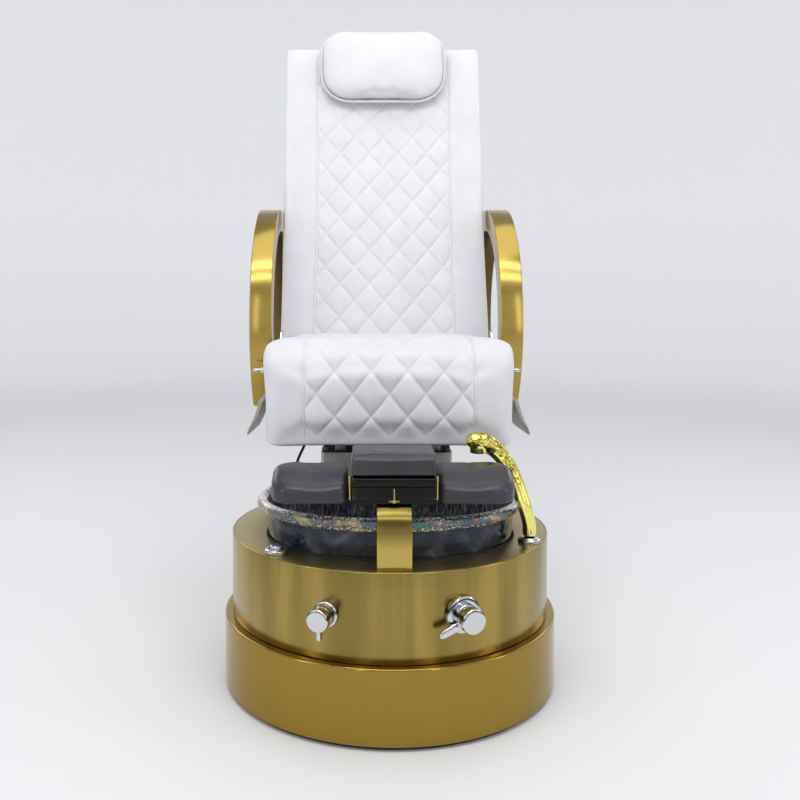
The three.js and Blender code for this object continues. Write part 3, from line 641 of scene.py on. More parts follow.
def soft_piece(node, skin, material, swell, place=None, relief=None):
    """A cushion that stands for a CAD node: swollen, subdivided, placed, then raised along its normals.

    skin holds vertices, faces and flat coordinates, and relief turns flat coordinates into heights.
    """
    verts, faces, flat = skin
    obj = add_object(node + "_look", verts, faces)
    attribute = obj.data.attributes.new("rest", "FLOAT_VECTOR", "POINT")
    attribute.data.foreach_set("vector", np.array(flat, np.float32).ravel())
    inflate(obj, swell)
    subdivide(obj)
    mesh = obj.data
    if place:
        mesh.transform(place)
    if relief:
        heights = relief(read_vectors(mesh.attributes["rest"].data, "vector"))
        points, normals = read_vectors(mesh.vertices, "co"), read_vectors(mesh.vertices, "normal")
        place_points(mesh, points + normals * heights[:, None])
    dress(obj, node, material)
    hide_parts(node)


def columns(half_width, edge):
    """Places across a cushion: even in the quilted strip, close at its double seam, wide in the border."""
    inner, border = round(STRIP / QUILT_CELL), 5
    places = [i * STRIP / inner for i in range(inner + 1)]
    places += [STRIP + gap for gap in (0.0025, 0.005, 0.0085, 0.015)]
    places += list(np.linspace(places[-1], half_width - edge, border + 1)[1:])
    return [-x for x in reversed(places[1:])] + places


def cushion_skin(zones, across, half_width, edge, narrowing=lambda x, y, z: x):
    """A closed skin: the side view repeated at each place across, rounded over and closed at both ends.

    zones holds ((y, z), (how quilted, distance along)) for each point round the side view.
    """
    middle = np.mean([point for point, _ in zones], axis=0)
    ends = [(half_width - edge * (1 - math.sin(a)), edge * (1 - math.cos(a)), 1.0)
            for a in np.radians((20, 45, 70))]
    ends += [(half_width + 0.004 * (1 - share), edge, share) for share in (0.86, 0.66, 0.44, 0.2)]
    stations = [(-x, inset, share) for x, inset, share in reversed(ends)]
    stations += [(x, 0.0, 1.0) for x in across] + ends
    loops, flat = [], []
    for x, inset, share in stations:
        loop = []
        for point, (quilted, along) in zones:
            direction = np.array(point) - middle
            reach = np.linalg.norm(direction)
            y, z = middle + direction * max(reach - inset, 0.0) / reach * share
            loop.append((narrowing(x, y, z), y, z))
            flat.append((x, along, quilted))
        loops.append(loop)
    return *loft(loops), flat


def unquilted(points):
    """Points of a side view with nothing sewn into them."""
    return [(point, (0.0, 0.0)) for point in points]


def seat_front_and_top(front, bottom, top, rear):
    """The quilted run of the seat's side view: up its front, over the roll and back along the top."""
    kink, roll = 0.668, 0.074
    upright = [(front + 0.002, bottom + 0.006), (front, bottom + 0.05), (front, kink - 0.012)]
    over = [(front + roll * (1 - math.cos(a)), kink + (top - kink) * math.sin(a) ** 0.9)
            for a in np.linspace(0.12, math.pi / 2, 9)]
    level = [(y, top - 0.007 * (y / rear) ** 2) for y in np.linspace(front + roll + 0.03, rear, 8)]
    return curve_points([*upright, *over, *level], 10)


def make_seat():
    low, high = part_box("seat_cushion")
    front, rear, top, bottom = low.y + 0.003, high.y - 0.024, high.z - 0.004, low.z
    row = SEAT_DIAMOND[1] / 8
    crossing = 0.6186  # height of the first stitch crossing on the middle line
    skirt = bottom - 0.0035
    run = seat_front_and_top(front, skirt, top, rear)
    lengths = run_lengths(run)
    upright = run[:, 1] < 0.66
    zero = np.interp(crossing, run[upright, 1], lengths[upright])
    first, last = math.ceil(-zero / row), math.floor((lengths[-1] - zero) / row)
    zones = []
    for i in range(first, last + 1):
        y, z = (np.interp(zero + i * row, lengths, run[:, axis]) for axis in (0, 1))
        fullness = 1.0 if z < 0.68 else 0.62
        quilted = fullness * smooth_step(i - first, 0, 2) * smooth_step(last - i, 0, 2)
        zones.append(((y, z), (float(quilted), i * row)))
    under = 0.352
    rear_edge = (rear + 0.02, top - 0.03)
    zones += unquilted([
        *resample([(rear + 0.012, top - 0.012), rear_edge], 0.010),
        *resample([rear_edge, (under, bottom + 0.008)], 0.022),
        *resample([(under - 0.006, bottom + 0.001), (0.078, bottom + 0.001)], 0.03),
        *resample([(0.066, skirt), (front + 0.010, skirt)], 0.02),
        (front + 0.006, skirt), (front + 0.003, skirt + 0.002),
    ])
    half_width, edge = high.x + 0.006, 0.026

    def narrowing(x, y, z):
        rear_share = smooth_step(y, 0.165, 0.235)
        lower_share = smooth_step(0.70 - z, 0.0, 0.19)
        scale = (1 - 0.092 * rear_share) * (1 - 0.008 * lower_share * (1 - rear_share))
        return x * (1 + (scale - 1) * min(1.0, abs(x) / half_width) ** 3)

    skin = cushion_skin(zones, columns(half_width, edge), half_width, edge, narrowing)
    soft_piece("seat_cushion", skin, WHITE_LEATHER, 0.006,
               relief=lambda flat: stitching(flat, SEAT_DIAMOND, 0.0075, 0.0014))


def make_backrest():
    row = BACK_DIAMOND[1] / 8
    corner, edge = 0.012, 0.013
    half_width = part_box("back_cushion")[1].x
    front, rear, top = 0.003, BACK_DEPTH - 0.003, BACK_LENGTH - 0.001
    rows = math.floor((top - 2 * corner) / row)
    start = top - corner - 0.004 - rows * row
    zones = []
    for i in range(rows + 1):
        quilted = smooth_step(i, 0, 2) * smooth_step(rows - i, 1, 4)
        zones.append(((front, start + i * row), (float(quilted), i * row)))
    zones += unquilted([
        *arc((front + corner, top - corner), corner, 150, 90, 2),
        *resample([(front + corner + 0.012, top), (rear - 0.010, top)], 0.018),
        *arc((rear - 0.009, top - 0.009), 0.009, 80, 10, 2),
        *resample([(rear, top - 0.03), (rear, 0.014)], 0.03),
        *resample([(rear - 0.010, 0.002), (front + corner, 0.002)], 0.02),
        *arc((front + corner, corner + 0.002), corner, 260, 200, 2),
    ])
    skin = cushion_skin(zones, columns(half_width, edge), half_width, edge)
    soft_piece("back_cushion", skin, WHITE_LEATHER, 0.004, on_back(0, 0, 0, 0),
               lambda flat: stitching(flat, BACK_DIAMOND, 0.0034, 0.0015))


def domed_pad(outline, thickness, crown, exponent, steps):
    """A pad about its own middle plane whose outline shrinks towards the middle of each face."""
    outline = np.array(outline)
    middle = outline.mean(axis=0)
    shares = [math.sin(math.pi / 2 * i / steps) for i in range(1, steps + 1)]
    rings, flat = [], []
    for share, side in [(share, -1) for share in shares] + [(share, 1) for share in reversed(shares[:-1])]:
        height = thickness / 2 * (1 - share**exponent) ** (1 / exponent) * (1 - crown * share**2)
        ring = [(a, b, side * height) for a, b in middle + (outline - middle) * share]
        flat += [(a, b, side * share) for a, b, _ in ring]
        rings.append(ring)
    return *loft(rings), flat


def make_headrest():
    width, height, depth = PILLOW["width"], PILLOW["height"], PILLOW["depth"]
    skin = domed_pad(rounded_outline(width, height, 0.080, 0.060, 0.060, 0.080), depth, 0.12, 2.4, 10)
    place = on_back(0, -0.002 - depth / 2, PILLOW["low"] + PILLOW["cad_height"] / 2, 1)

    def gathers(flat):
        along_edge = 0.0014 * np.sin(flat[:, 0] * 120 + 1.3)
        return (flat[:, 2] > 0) * along_edge * np.exp(-((flat[:, 1] + 0.092) / 0.012) ** 2)

    soft_piece("headrest_pillow", skin, WHITE_LEATHER, 0.005, place, gathers)
    outline = rounded_outline(width + 0.003, height + 0.003, 0.081, 0.061, 0.061, 0.081)
    welt = tube([(a, b, -0.010) for a, b in outline], 0.0036, 10, closed=True)
    add_piece("headrest_welt", "headrest_pillow", welt, WHITE_LEATHER, place)


def make_strap():
    """A flap that runs from the pillow over the top of the backrest and down its rear."""
    rear = BACK_DEPTH + 0.0123
    top = BACK_LENGTH + 0.003
    inner = [(0.002, top), (0.03, top + 0.0035), (rear - 0.014, top + 0.002), (rear + 0.003, top - 0.012),
             (rear + 0.0045, top - 0.05), (rear + 0.0042, top - 0.15)]
    outer = [(0.0, top + 0.017), (0.03, top + 0.010), (rear - 0.008, top + 0.006)]
    outer += [(rear + 0.0085, top - down) for down in (0.01, 0.05, 0.15)]
    inner, outer = curve_points(inner, 5), curve_points(outer, 5)
    rings = []
    for x in np.linspace(-0.15, 0.15, 25):
        lift = 0.0012 * math.cos(x * 40)
        rings.append([(x, y, z) for y, z in inner] + [(x, y + lift, z + lift) for y, z in reversed(outer)])
    stand_for("headrest_strap", loft(rings), WHITE_LEATHER, on_back(0, 0, 0, 0), sharp=50, bevel=0.0012)


def make_back_shell():
    """The rear cover with a welt round it and two raised seams."""
    length = BACK_LENGTH - 0.036
    outline = rounded_outline(2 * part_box("back_shell")[1].x, length, 0.03)
    verts, faces, _ = domed_pad(outline, 0.012, 0.0, 6, 12)
    place = on_back(0, BACK_DEPTH + 0.0063, BACK_LENGTH / 2, -1)
    stand_for("back_shell", (verts, faces), REAR_LEATHER, place, sharp=60)
    welt = tube([(a * 0.985, b * 0.985, 0.0045) for a, b in outline], 0.0028, 10, closed=True)
    add_piece("back_shell_welt", "back_shell", welt, WHITE_LEATHER, place)
    for side, x in (("right", -0.13), ("left", 0.13)):
        line = [(x, y, 0.006) for y in np.linspace(0.02 - length / 2, length / 2 - 0.02, 41)]
        add_piece(f"back_shell_seam_{side}", "back_shell", tube(line, 0.0016, 8), WHITE_LEATHER, place)


def make_back_bolts():
    """Washers and domed bolt heads that hold the hinge plate to the rear of the backrest."""
    plate_rear = BACK_DEPTH + 0.0206
    washer = [(0.012, 0), (0.012, 0.0012), (0.0085, 0.0016)]
    bolt = solid_lathe([*washer, (0.008, 0.0042), (0.0055, 0.0056), (0.002, 0.006)], 32)
    places = [(x, z) for x in (-0.185, -0.062, 0.062, 0.185) for z in (0.066, 0.234)]
    for number, (x, z) in enumerate(places, 1):
        add_piece(f"back_bolt_{number}", "back_frame", bolt, CHROME, on_back(x, plate_rear, z, -1))


def padded_block(outline, low, height_at, lower, upper):
    """A block with rounded lower and upper edges whose top follows height_at(a, b).

    Each ring is the outline drawn in over a rounded edge, or a share of the flat face inside that edge.
    """
    outline = np.array(outline)
    middle = outline.mean(axis=0)
    outward = (outline - middle) / np.linalg.norm(outline - middle, axis=1, keepdims=True)
    sequence = [(share, 0.0, False) for share in (0.2, 0.5, 0.8)]
    sequence += [(None, t, False) for t in np.linspace(0, math.pi / 2, 5)]
    sequence += [(None, t, True) for t in np.linspace(math.pi / 2, 0, 8)]
    sequence += [(share, 0.0, True) for share in (0.84, 0.7, 0.56, 0.42, 0.28, 0.14)]
    rings, flat = [], []
    for share, t, on_top in sequence:
        radius = upper if on_top else lower
        if share is None:
            points = outline - outward * radius * (1 - math.sin(t))
            drop = radius * (1 - math.cos(t))
        else:
            points = middle + (outline - outward * radius - middle) * share
            drop = 0.0
        rings.append([(a, b, height_at(a, b) - drop if on_top else low + drop) for a, b in points])
        flat += [(a, b, drop) for a, b in points]
    return *loft(rings), flat


def make_foot_pads():
    outer, inner = 0.047, 0.012
    for side, sign in SIDES.items():
        node = f"foot_pad_{side}"
        low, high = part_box(node)
        radii = (outer, outer, inner, inner) if sign > 0 else (inner, inner, outer, outer)
        outline = rounded_outline(high.x - low.x - 0.002, high.y - low.y - 0.002, *radii)

        def height_at(a, b):
            fall = 0.021 * smooth_step(-b, -0.03, 0.062)
            valley = 0.0045 * groove(a + sign * 0.018, 0.045) * smooth_step(0.055 - b, 0.0, 0.05)
            return high.z - 0.001 - fall - valley

        skin = padded_block(outline, low.z + 0.0005, height_at, 0.006, 0.017)
        soft_piece(node, skin, DARK_LEATHER, 0.0012, Matrix.Translation((*middle_of(node), 0)))


def make_centre_pad():
    low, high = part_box("centre_pad")
    front, back, bottom, top = low.y, high.y - 0.001, low.z + 0.0002, high.z - 0.0005
    outline = [
        (back, bottom + 0.004), *arc((back - 0.008, top - 0.008), 0.008, 0, 90, 4), (front + 0.036, top),
        *arc((front + 0.022, top - 0.023), 0.0225, 80, 150, 6), (front, bottom + 0.008),
        (front + 0.001, bottom + 0.001), (back - 0.004, bottom),
    ]
    half_width, edge = high.x, 0.006
    across = np.linspace(edge - half_width, half_width - edge, 17)
    skin = cushion_skin(unquilted(spread(outline, 56)), across, half_width, edge)
    soft_piece("centre_pad", skin, DARK_LEATHER, 0.0015)


# ---------------- base
def make_drums():
    """The two drums as thin shells with inner flanges, and the seal between them."""
    wall = 0.004
    low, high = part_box("lower_drum")
    radius, foot, top = high.x, low.z, high.z
    ledge, flange = radius - 0.030, radius - 0.018
    inside = radius - wall
    profile = [
        (radius - 0.0015, foot), (radius, foot + 0.0015), *arc((inside, top - 0.004), 0.004, 0, 90, 5),
        (ledge, top), (ledge, top - wall), (inside, top - wall), (inside, foot + wall), (flange, foot + wall),
        (flange, foot),
    ]
    stand_for("lower_drum", lathe(profile, 256), MIRROR_GOLD, sharp=40)

    low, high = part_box("upper_drum")
    radius, foot, top = high.x, low.z, high.z
    inside = radius - wall
    shelf, flange = inside - 0.0075, inside - 0.008
    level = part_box("deck_plate")[0].z - 0.0003
    profile = [
        (radius - 0.003, foot), (radius - 0.0008, foot + 0.001), (radius, foot + 0.003),
        *arc((radius - 0.002, top - 0.002), 0.002, 0, 90, 4), (inside, top), (inside, level), (shelf, level),
        (shelf, level - wall), (inside, level - wall), (inside, foot + wall), (flange, foot + wall),
        (flange, foot),
    ]
    stand_for("upper_drum", lathe(profile, 256), DRUM_GOLD, sharp=40)
    inner, outer = radius - 0.006, radius - 0.0025
    seam = [(inner, foot - 0.0001), (outer, foot - 0.0001), (outer, foot + 0.0006), (inner, foot + 0.0006)]
    add_piece("drum_seal", "bowl_gasket", lathe(seam, 192), RUBBER)


def bowl_ring(side, front, z):
    """The bowl's outline at one height, drawn in from its widest by side along X and by front along Y."""
    low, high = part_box("glass_bowl")
    middle = middle_of("glass_bowl")[1]
    outline = superellipse(high.x - side, (high.y - low.y) / 2 - front, BOWL_EXPONENT)
    return [(x, y + middle, z) for x, y in outline]


def make_deck():
    low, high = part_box("deck_plate")
    edge = [(high.x * math.cos(a), high.x * math.sin(a)) for a in full_turn(CURVE_POINTS)]
    opening = (BOWL_AT_DECK[0] - 0.005, BOWL_AT_DECK[1] - 0.005)
    rings = [[(x, y, z) for x, y in edge] for z in (low.z, high.z)]
    rings += [bowl_ring(*opening, z) for z in (high.z, low.z)]
    stand_for("deck_plate", loft(rings, True), DECK_GOLD, bevel=0.0006)


def make_bowl():
    low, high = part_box("glass_bowl")
    floor, rim = low.z, high.z
    outside = [(0.106, 0.094, floor), (0.080, 0.066, floor + 0.010), (0.056, 0.047, floor + 0.032),
               (0.031, 0.014, floor + 0.096), (0.025, 0.005, floor + 0.129), (0.022, 0.004, rim - 0.036),
               (0.020, 0.0035, rim - 0.028), (0.023, 0.0045, rim - 0.024)]
    inside = [(0.028, 0.0125, rim - 0.024), (0.031, 0.0155, rim - 0.030), (0.035, 0.014, floor + 0.129),
              (0.040, 0.023, floor + 0.096), (0.066, 0.058, floor + 0.036), (0.086, 0.076, floor + 0.017),
              (0.108, 0.096, floor + 0.008)]
    outside, inside = curve_points(outside, 3), curve_points(inside, 3)
    bowl = stand_for("glass_bowl", loft([bowl_ring(*station) for station in [*outside, *inside]]),
                     BOWL_GLASS, sharp=60)
    mark_points(bowl, "inside", np.repeat([0.0] * len(outside) + [1.0] * len(inside), CURVE_POINTS))


def make_gasket():
    """A rubber ring between the bowl and the deck, with a lip that rises over the deck's edge."""
    low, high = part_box("bowl_gasket")
    side, front = BOWL_AT_DECK
    lip = (0.003, high.z + 0.0008)
    stations = [(0.0015, low.z), (0.0045, low.z), (0.0045, high.z), lip, (0.0015, high.z)]
    rings = [bowl_ring(side - outward, front - outward, z) for outward, z in stations]
    stand_for("bowl_gasket", loft(rings, True), RUBBER)


def make_bowl_rim():
    """The glass lip, a closed ring; its points know how near they are to the crest or the lower edge."""
    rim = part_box("glass_bowl")[1].z
    lip = [(0.0205, 0.0037, 0.0255), (0.012, 0.0025, 0.0225), (0.004, 0.0008, 0.018), (0.0, 0.0, 0.012),
           (0.003, 0.002, 0.005), (0.009, 0.007, 0.0008), (0.016, 0.0125, 0.0), (0.0225, 0.017, 0.004),
           (0.027, 0.018, 0.012), (0.0285, 0.0155, 0.0235)]
    lip = curve_points(lip, 3)
    ring = loft([bowl_ring(side, front, rim - below) for side, front, below in lip], True)
    obj = add_piece("bowl_rim", "glass_bowl", ring, RIM_GLASS, sharp=80)
    below = lip[:, 2]
    # How near each point is to the crest and the lower edge, where the rim glass gathers its painted glints.
    edge = np.exp(-((below / 0.0035) ** 2)) + 0.8 * np.exp(-(((below - 0.021) / 0.004) ** 2))
    mark_points(obj, "edge", np.repeat(edge, CURVE_POINTS))


def make_post():
    low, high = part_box("foot_post")
    front, back, bottom, top = low.y, high.y, low.z, high.z
    curve = [(front + 0.031 * t**2 + 0.004 * t, top - 0.048 * (1 - t)) for t in np.linspace(1, 0, 12)]
    outline = [(back, bottom), (back, top), *curve, (front, bottom)]
    stand_for("foot_post", side_slab(outline, low.x, high.x), POST_GOLD, bevel=0.0014, sharp=30)


def make_housing():
    low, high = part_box("footrest_housing")
    front, back, bottom, top = low.y + 0.002, high.y, low.z, high.z
    outline = [
        (back, bottom), (back, top), *arc((front + 0.012, top - 0.0125), 0.012, 90, 240, 12),
        (front + 0.005, top - 0.027), (front + 0.003, bottom + 0.011), (front, bottom + 0.009),
        (front, bottom + 0.001), (front + 0.001, bottom),
    ]
    block = side_slab(outline, low.x + 0.0005, high.x - 0.0005)
    stand_for("footrest_housing", block, GLOSS_BLACK, bevel=0.0012)


def make_column():
    low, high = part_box("column_shell")
    width, depth = high.x - low.x, high.y - low.y
    centre = middle_of("column_shell")[1]
    outside = [(low.z, 0.001), (low.z + 0.001, 0.0), (high.z - 0.0015, 0.0), (high.z, 0.0015)]
    stations = [(z, 1 - 2 * inset / width, 1 - 2 * inset / depth) for z, inset in outside]
    stations += [(z, 0.975, 0.925) for z in (high.z, low.z)]
    outline = rounded_outline(width, depth, 0.015)
    rings = [[(x * across, y * deep + centre, z) for x, y in outline] for z, across, deep in stations]
    stand_for("column_shell", loft(rings, True), BEIGE_PAINT, sharp=40)


# ---------------- fittings
def make_mixer(place):
    """The round plate, the knob with its groove, and the lever fin that turns with it."""
    plate = lathe([
        (0.009, 0), (0.036, 0), (0.036, 0.003), *arc((0.0275, -0.002), 0.0125, 55, 90, 5), (0.009, 0.0105),
    ])
    stand_for("mixer_escutcheon", plate, CHROME, place, sharp=30)
    fin = slab([(-0.014, -0.006), (-0.034, -0.012), (-0.052, -0.020), (-0.058, -0.027), (-0.056, -0.033),
                (-0.049, -0.034), (-0.030, -0.028), (-0.010, -0.020)], 0.0145, 0.0225)
    add_piece("mixer_lever", "mixer_handle", fin, CHROME, place, bevel=0.0025)
    knob = solid_lathe([
        (0.0215, 0.0108), (0.024, 0.012), (0.024, 0.030), (0.0228, 0.0305), (0.0228, 0.0318), (0.024, 0.0323),
        *arc((0.0205, 0.0455), 0.0035, 0, 90, 4), (0.0155, 0.0493), (0.004, 0.0486),
    ], 96)
    stand_for("mixer_handle", knob, CHROME, place, sharp=30)


def make_diverter(place):
    """The collar, the knob with its groove, and the small tab that turns with it."""
    collar = lathe([(0.009, 0), (0.025, 0), *arc((0.0215, 0.0065), 0.0035, 0, 90, 5), (0.009, 0.010)])
    stand_for("diverter_collar", collar, CHROME, place, sharp=30)
    knob = solid_lathe([
        (0.0195, 0.0108), (0.0215, 0.0125), (0.0215, 0.026), (0.0204, 0.0265), (0.0204, 0.0278),
        (0.0215, 0.0283), *arc((0.0185, 0.0420), 0.003, 0, 90, 4), (0.013, 0.0452), (0.004, 0.0446),
    ], 96)
    stand_for("diverter_knob", knob, CHROME, place, sharp=30)
    tab = slab([(x, y - 0.028) for x, y in rounded_outline(0.007, 0.022, 0.003)], 0.0245, 0.0375)
    add_piece("diverter_tab", "diverter_knob", tab, CHROME, place, bevel=0.001)


def make_knobs():
    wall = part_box("upper_drum")[1].x + 0.0003
    make_mixer(on_wall(KNOB_ANGLE, wall, KNOB_HEIGHT))
    make_diverter(on_wall(-KNOB_ANGLE, wall, KNOB_HEIGHT))


def make_button():
    bezel = lathe([
        (0.015, 0), (0.0245, 0), (0.025, 0.001), *arc((0.0215, 0.0045), 0.0035, 0, 70, 5), (0.018, 0.0088),
        (0.0155, 0.0092), (0.015, 0.0085),
    ])
    stand_for("air_button_bezel", bezel, CHROME, on_foot("air_button_bezel"), sharp=30)
    button = solid_lathe([
        (0.0135, 0), (0.014, 0.0006), (0.014, 0.0135), *arc((0.0112, 0.0138), 0.0028, 0, 90, 4),
        (0.006, 0.0170),
    ])
    stand_for("air_button", button, CHROME, on_foot("air_button"), sharp=30)


def make_hand_shower():
    """The curved handle, which widens to the head, and the smooth spine along its front."""
    x, y = middle_of("shower_collar")
    stations = [
        (x, y, 0.3425, 0.0125), (x, y, 0.352, 0.0142), (0.283, -0.147, 0.366, 0.0137),
        (0.278, -0.155, 0.386, 0.0137), (0.271, -0.160, 0.409, 0.0142), (0.263, -0.157, 0.432, 0.0147),
        (0.255, -0.147, 0.456, 0.0152), (0.245, -0.135, 0.480, 0.0157), (0.230, -0.125, 0.503, 0.0167),
        (0.212, -0.120, 0.521, 0.0182), (0.194, -0.118, 0.531, 0.0197), (0.175, -0.118, 0.533, 0.0195),
        (0.163, -0.118, 0.531, 0.0150), (0.158, -0.118, 0.529, 0.006),
    ]
    smooth = curve_points(stations, 6)
    stand_for("hand_shower", tube(smooth[:, :3], smooth[:, 3], 48), RELIEF_GOLD, sharp=70)
    handle = smooth[6:-26]
    front = [(px - 0.35 * r, py - 0.90 * r, pz - 0.2 * r) for px, py, pz, r in handle]
    spine = tube(front, np.linspace(0.0052, 0.0036, len(front)))
    add_piece("shower_spine", "hand_shower", spine, SHOWER_GOLD, sharp=70)


def make_shower():
    collar = lathe([
        (0.0105, 0), (0.0228, 0), (0.0235, 0.001), *arc((0.0205, 0.004), 0.003, 0, 80, 4), (0.019, 0.0092),
        *arc((0.0165, 0.0092), 0.0016, 10, 90, 3), (0.0105, 0.011),
    ])
    stand_for("shower_collar", collar, CHROME, on_foot("shower_collar"), sharp=30)
    make_hand_shower()
    nozzle = lathe([(0.0168, 0), (0.0188, 0), (0.0195, 0.001), (0.0195, 0.016), (0.0168, 0.016)], 96)
    add_piece("shower_nozzle_ring", "hand_shower", nozzle, SHOWER_GOLD, on_foot("shower_face", 0.0003))
    plate = solid_lathe([(0.004, 0.0004), (0.0150, 0), (0.0165, 0.0012), (0.0165, 0.0128)])
    stand_for("shower_face", plate, FACE_PLATE, on_foot("shower_face"))
    low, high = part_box("shower_hose")
    steps = 104
    coils = [(0.0072 if i % 4 < 2 else 0.0064, (high.z - low.z) * i / steps) for i in range(steps + 1)]
    stand_for("shower_hose", solid_lathe(coils, 32), CHROME, on_foot("shower_hose"))


def flattened_circle(radius, flat):
    """A circle cut off level at a distance below its centre, without the cut itself."""
    start = -math.asin(flat / radius)
    return arc((0, 0), radius, math.degrees(start), math.degrees(math.pi - start), 96)


def bend(start, corner, end):
    """A short curve from start to end that turns towards a corner."""
    return [(1 - t) ** 2 * start + 2 * t * (1 - t) * corner + t**2 * end for t in np.linspace(0, 1, 5)]


def round_corners(points, radius):
    """Replaces the corners between the arc's ends and the flat by short curves."""
    def step(start, towards):
        return radius * (towards - start) / np.linalg.norm(towards - start)

    points = np.array(points)
    first, last = points[0], points[-1]
    inward = step(first, last)
    return [*points[3:-3], *bend(last + step(last, points[-3]), last, last - inward),
            *bend(first + inward, first, first + step(first, points[2]))]


def make_armrests():
    """Flat-bottomed ring armrests; the faces that look towards the middle of the ring get a darker gold,
    painted shade for the shadow inside the ring.
    """
    band = 0.058
    for side in SIDES:
        node = f"armrest_{side}"
        low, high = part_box(node)
        radius = (high.y - low.y) / 2
        centre_y, centre_z = (low.y + high.y) / 2, high.z - radius
        flat = centre_z - low.z
        outer = round_corners(flattened_circle(radius, flat), 0.014)
        inner = round_corners(flattened_circle(radius - band, flat - band), 0.010)
        corners = [(low.x, outer), (high.x, outer), (high.x, inner), (low.x, inner)]
        rings = [[(x, y + centre_y, z + centre_z) for y, z in outline] for x, outline in corners]
        obj = stand_for(node, loft(rings, True), RING_GOLD, bevel=0.002, sharp=30)
        # The inner faces take the darker gold, painted shade for the shadow inside the ring.
        obj.data.materials.append(RING_PAINTED_SHADE)
        for face in obj.data.polygons:
            inward = Vector((0, centre_y - face.center.y, centre_z - face.center.z))
            if abs(face.normal.x) < 0.5 and face.normal.dot(inward) > 0:
                face.material_index = 1


def make_tray_arm(side, sign):
    """The white bar in front of a ring armrest, with a chrome cap on its outer end."""
    node = f"tray_arm_{side}"
    low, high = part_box(node)
    radius = (high.z - low.z) / 2
    start, end = (low.x, high.x) if sign > 0 else (high.x, low.x)
    tip = start + (end - start) * 0.72

    def turned(places, shares):
        path = [(x, (low.y + high.y) / 2, (low.z + high.z) / 2) for x in places]
        return tube(path, [radius * share for share in shares], 32)

    bar = turned((start, start + sign * 0.001, tip - sign * 0.002, tip), (0.8, 1, 1, 0.7))
    stand_for(node, bar, WHITE_PAINT, sharp=40)
    cap = turned((tip - sign * 0.001, tip + sign * 0.001, end - sign * 0.002, end), (0.5, 0.68, 0.68, 0.5))
    add_piece(f"tray_arm_cap_{side}", node, cap, CHROME, sharp=40)


def make_tray(side, sign):
    """A thin flap with a rounded free edge, slightly cupped and twisted from front to rear."""
    low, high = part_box(f"tray_{side}")
    thickness, length, corner = 0.009, 0.088, 0.022
    rings = []
    for share in np.linspace(0, 1, 25):
        y = low.y + 0.001 + (high.y - low.y - 0.002) * share
        hang = math.radians(25 - 9 * share)
        from_end = min(share, 1 - share) * (high.y - low.y)
        into_corner = 1 - min(from_end / corner, 1)
        reach = length * (1 - 0.12 * share) - corner * (1 - math.sqrt(1 - into_corner**2))
        inner, outer = [], []
        for t in np.linspace(0, 1, 9):
            cup = 0.004 * math.sin(math.pi * t)
            body = thickness * (1 - 0.65 * t**2)
            x = TRAY_HINGE + 0.002 + reach * t * math.sin(hang) - cup * math.cos(hang)
            z = high.z - 0.001 - reach * t * math.cos(hang) - cup * math.sin(hang)
            inner.append((sign * x, y, z))
            outer.append((sign * (x + body * math.cos(hang)), y, z + body * math.sin(hang)))
        rings.append(inner + outer[::-1])
    stand_for(f"tray_{side}", loft(rings), TAUPE, sharp=45, bevel=0.0012)


def make_side_fittings():
    for side, sign in SIDES.items():
        make_tray_arm(side, sign)
        make_tray(side, sign)


# ---------------- CAD pieces that keep their shape
KEPT_NODES = {
    BLACK_STEEL: "base_plate column_top swivel_plate back_frame recline_strut_tube",
    GREY_PLASTIC: "bowl_support drain_pipe",
    BLACK_PLASTIC: "drain_pump jet_motor",
    CHROME: "drain_strainer jet_cap back_bracket_left back_bracket_right recline_strut_rod"
            " side_bracket_left side_bracket_right",
    STEEL: "mixer_valve diverter_valve foot_mast swivel_bearing slide_rail_left slide_rail_right",
    BRASS: "housing_trim pad_hinge_left pad_hinge_right",
    RUBBER: "power_cable",
    BOARD: "seat_pan",
}


def finish_kept_node(obj, material):
    """Softens the edges of a CAD piece that keeps its shape, and gives it its material."""
    mesh = obj.data
    if "custom_normal" in mesh.attributes:
        mesh.attributes.remove(mesh.attributes["custom_normal"])
    mesh.polygons.foreach_set("use_smooth", [True] * len(mesh.polygons))
    for slot in obj.material_slots:
        slot.link = "OBJECT"
        slot.material = material
    weld = obj.modifiers.new("weld", "WELD")
    weld.merge_threshold = 0.00002
    round_edges(obj, 0.0007, 2, 40)
    split = obj.modifiers.new("split", "EDGE_SPLIT")
    split.split_angle = math.radians(38)


def finish_kept_nodes():
    for material, names in KEPT_NODES.items():
        for name in names.split():
            finish_kept_node(frame["nodes"][name], material)


# ---------------- studio and camera
def make_studio():
    """A pale round room without a corner, open at the top, whose floor glows more away from the chair."""
    floor = Surface("floor", (0.80, 0.803, 0.81), 0.65, Specular_IOR_Level=0.25)
    distance = floor.add("VectorMath")
    distance.operation = "LENGTH"
    floor.connect(floor.position, distance.inputs[0])
    glow = floor.remap(distance.outputs["Value"], 0.0, 0.24, 3.0, 8.5)
    floor.feed(Emission_Color=(0.96, 0.975, 0.98), Emission_Strength=glow)
    radius, curve, height, segments = 8.0, 1.6, 5.5, 128
    flat = radius - curve
    profile = [(0.6, 0), (2, 0), (4, 0), (flat, 0), *arc((flat, curve), curve, -90, 0, 16), (radius, height)]
    angles = full_turn(segments)
    verts = [(0, 0, 0)] + [(r * math.cos(a), r * math.sin(a), z) for r, z in profile for a in angles]
    faces = [(0, 1 + j, 1 + (j + 1) % segments) for j in range(segments)]
    for low in range(1, len(verts) - segments, segments):
        for j in range(segments):
            k = (j + 1) % segments
            faces.append((low + j, low + segments + j, low + segments + k, low + k))
    mesh = bpy.data.meshes.new("studio")
    mesh.from_pydata(verts, [], faces)
    mesh.materials.append(floor.material)
    mesh.polygons.foreach_set("use_smooth", [True] * len(mesh.polygons))
    studio = bpy.data.objects.new("studio", mesh)
    bpy.context.scene.collection.objects.link(studio)


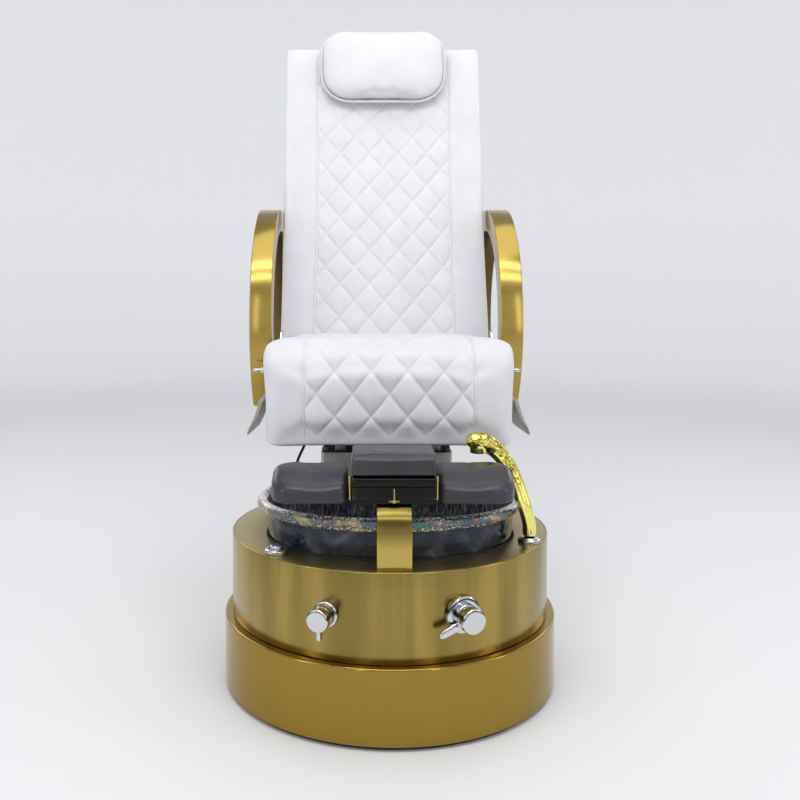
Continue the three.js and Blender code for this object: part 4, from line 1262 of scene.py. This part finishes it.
def make_light(name, place, target, size, power):
    data = bpy.data.lights.new(name, "AREA")
    data.shape = "RECTANGLE"
    data.size, data.size_y = size
    data.energy = power
    lamp = bpy.data.objects.new(name, data)
    lamp.location = place
    lamp.rotation_euler = (Vector(target) - Vector(place)).to_track_quat("-Z", "Y").to_euler()
    bpy.context.scene.collection.objects.link(lamp)


def make_lights():
    world = bpy.data.worlds.new("studio_world")
    world.use_nodes = True
    background = world.node_tree.nodes["Background"]
    background.inputs["Color"].default_value = (0.93, 0.95, 1.0, 1)
    background.inputs["Strength"].default_value = 0.5
    bpy.context.scene.world = world
    bpy.context.scene.view_settings.view_transform = "Standard"
    middle, seat, back = (0, 0.1, 0.7), (0, 0.2, 0.6), (0, 0.5, 0.9)
    make_light("overhead", (0.1, 0.1, 3.6), (0, 0.3, 0.4), (3.4, 2.2), 30)
    make_light("ceiling_strip_near", (0, -1.7, 3.0), seat, (3.4, 0.22), 17)
    make_light("ceiling_strip_far", (0, -1.0, 3.1), seat, (3.4, 0.22), 17)
    make_light("strip_left", (-2.5, -1.6, 1.6), middle, (0.35, 2.4), 9)
    make_light("strip_front_left", (-1.1, -3.1, 1.4), middle, (0.25, 2.2), 3.5)
    make_light("strip_front_right", (1.5, -3.0, 1.4), middle, (0.3, 2.2), 5)
    make_light("strip_right", (2.6, -0.9, 1.5), middle, (0.3, 2.4), 8)
    make_light("rear_left", (-2.2, 2.6, 2.4), back, (1.6, 1.6), 14)
    make_light("rear_right", (2.4, 2.4, 2.2), back, (1.2, 1.6), 10)


CAMERA_PLACE = (-0.0625, -1.9915, 0.8657)
CAMERA_TILT = math.radians(2.43)
FOCAL_LENGTH = 40.81
LENS_SHIFT = (0.0488, -0.1)


def make_camera():
    """Looks slightly down; the lens shift keeps upright lines almost parallel, as in the photo."""
    data = bpy.data.cameras.new("camera")
    data.lens = FOCAL_LENGTH
    data.shift_x, data.shift_y = LENS_SHIFT
    camera = bpy.data.objects.new("camera", data)
    camera.location = CAMERA_PLACE
    camera.rotation_euler = (math.pi / 2 - CAMERA_TILT, 0, 0)
    bpy.context.scene.collection.objects.link(camera)
    bpy.context.scene.camera = camera


make_drums()
make_deck()
make_bowl()
make_gasket()
make_bowl_rim()
make_post()
make_housing()
make_column()
make_knobs()
make_button()
make_shower()
make_armrests()
make_side_fittings()
make_seat()
make_backrest()
make_headrest()
make_strap()
make_back_shell()
make_back_bolts()
make_foot_pads()
make_centre_pad()
finish_kept_nodes()
make_studio()
make_lights()
make_camera()
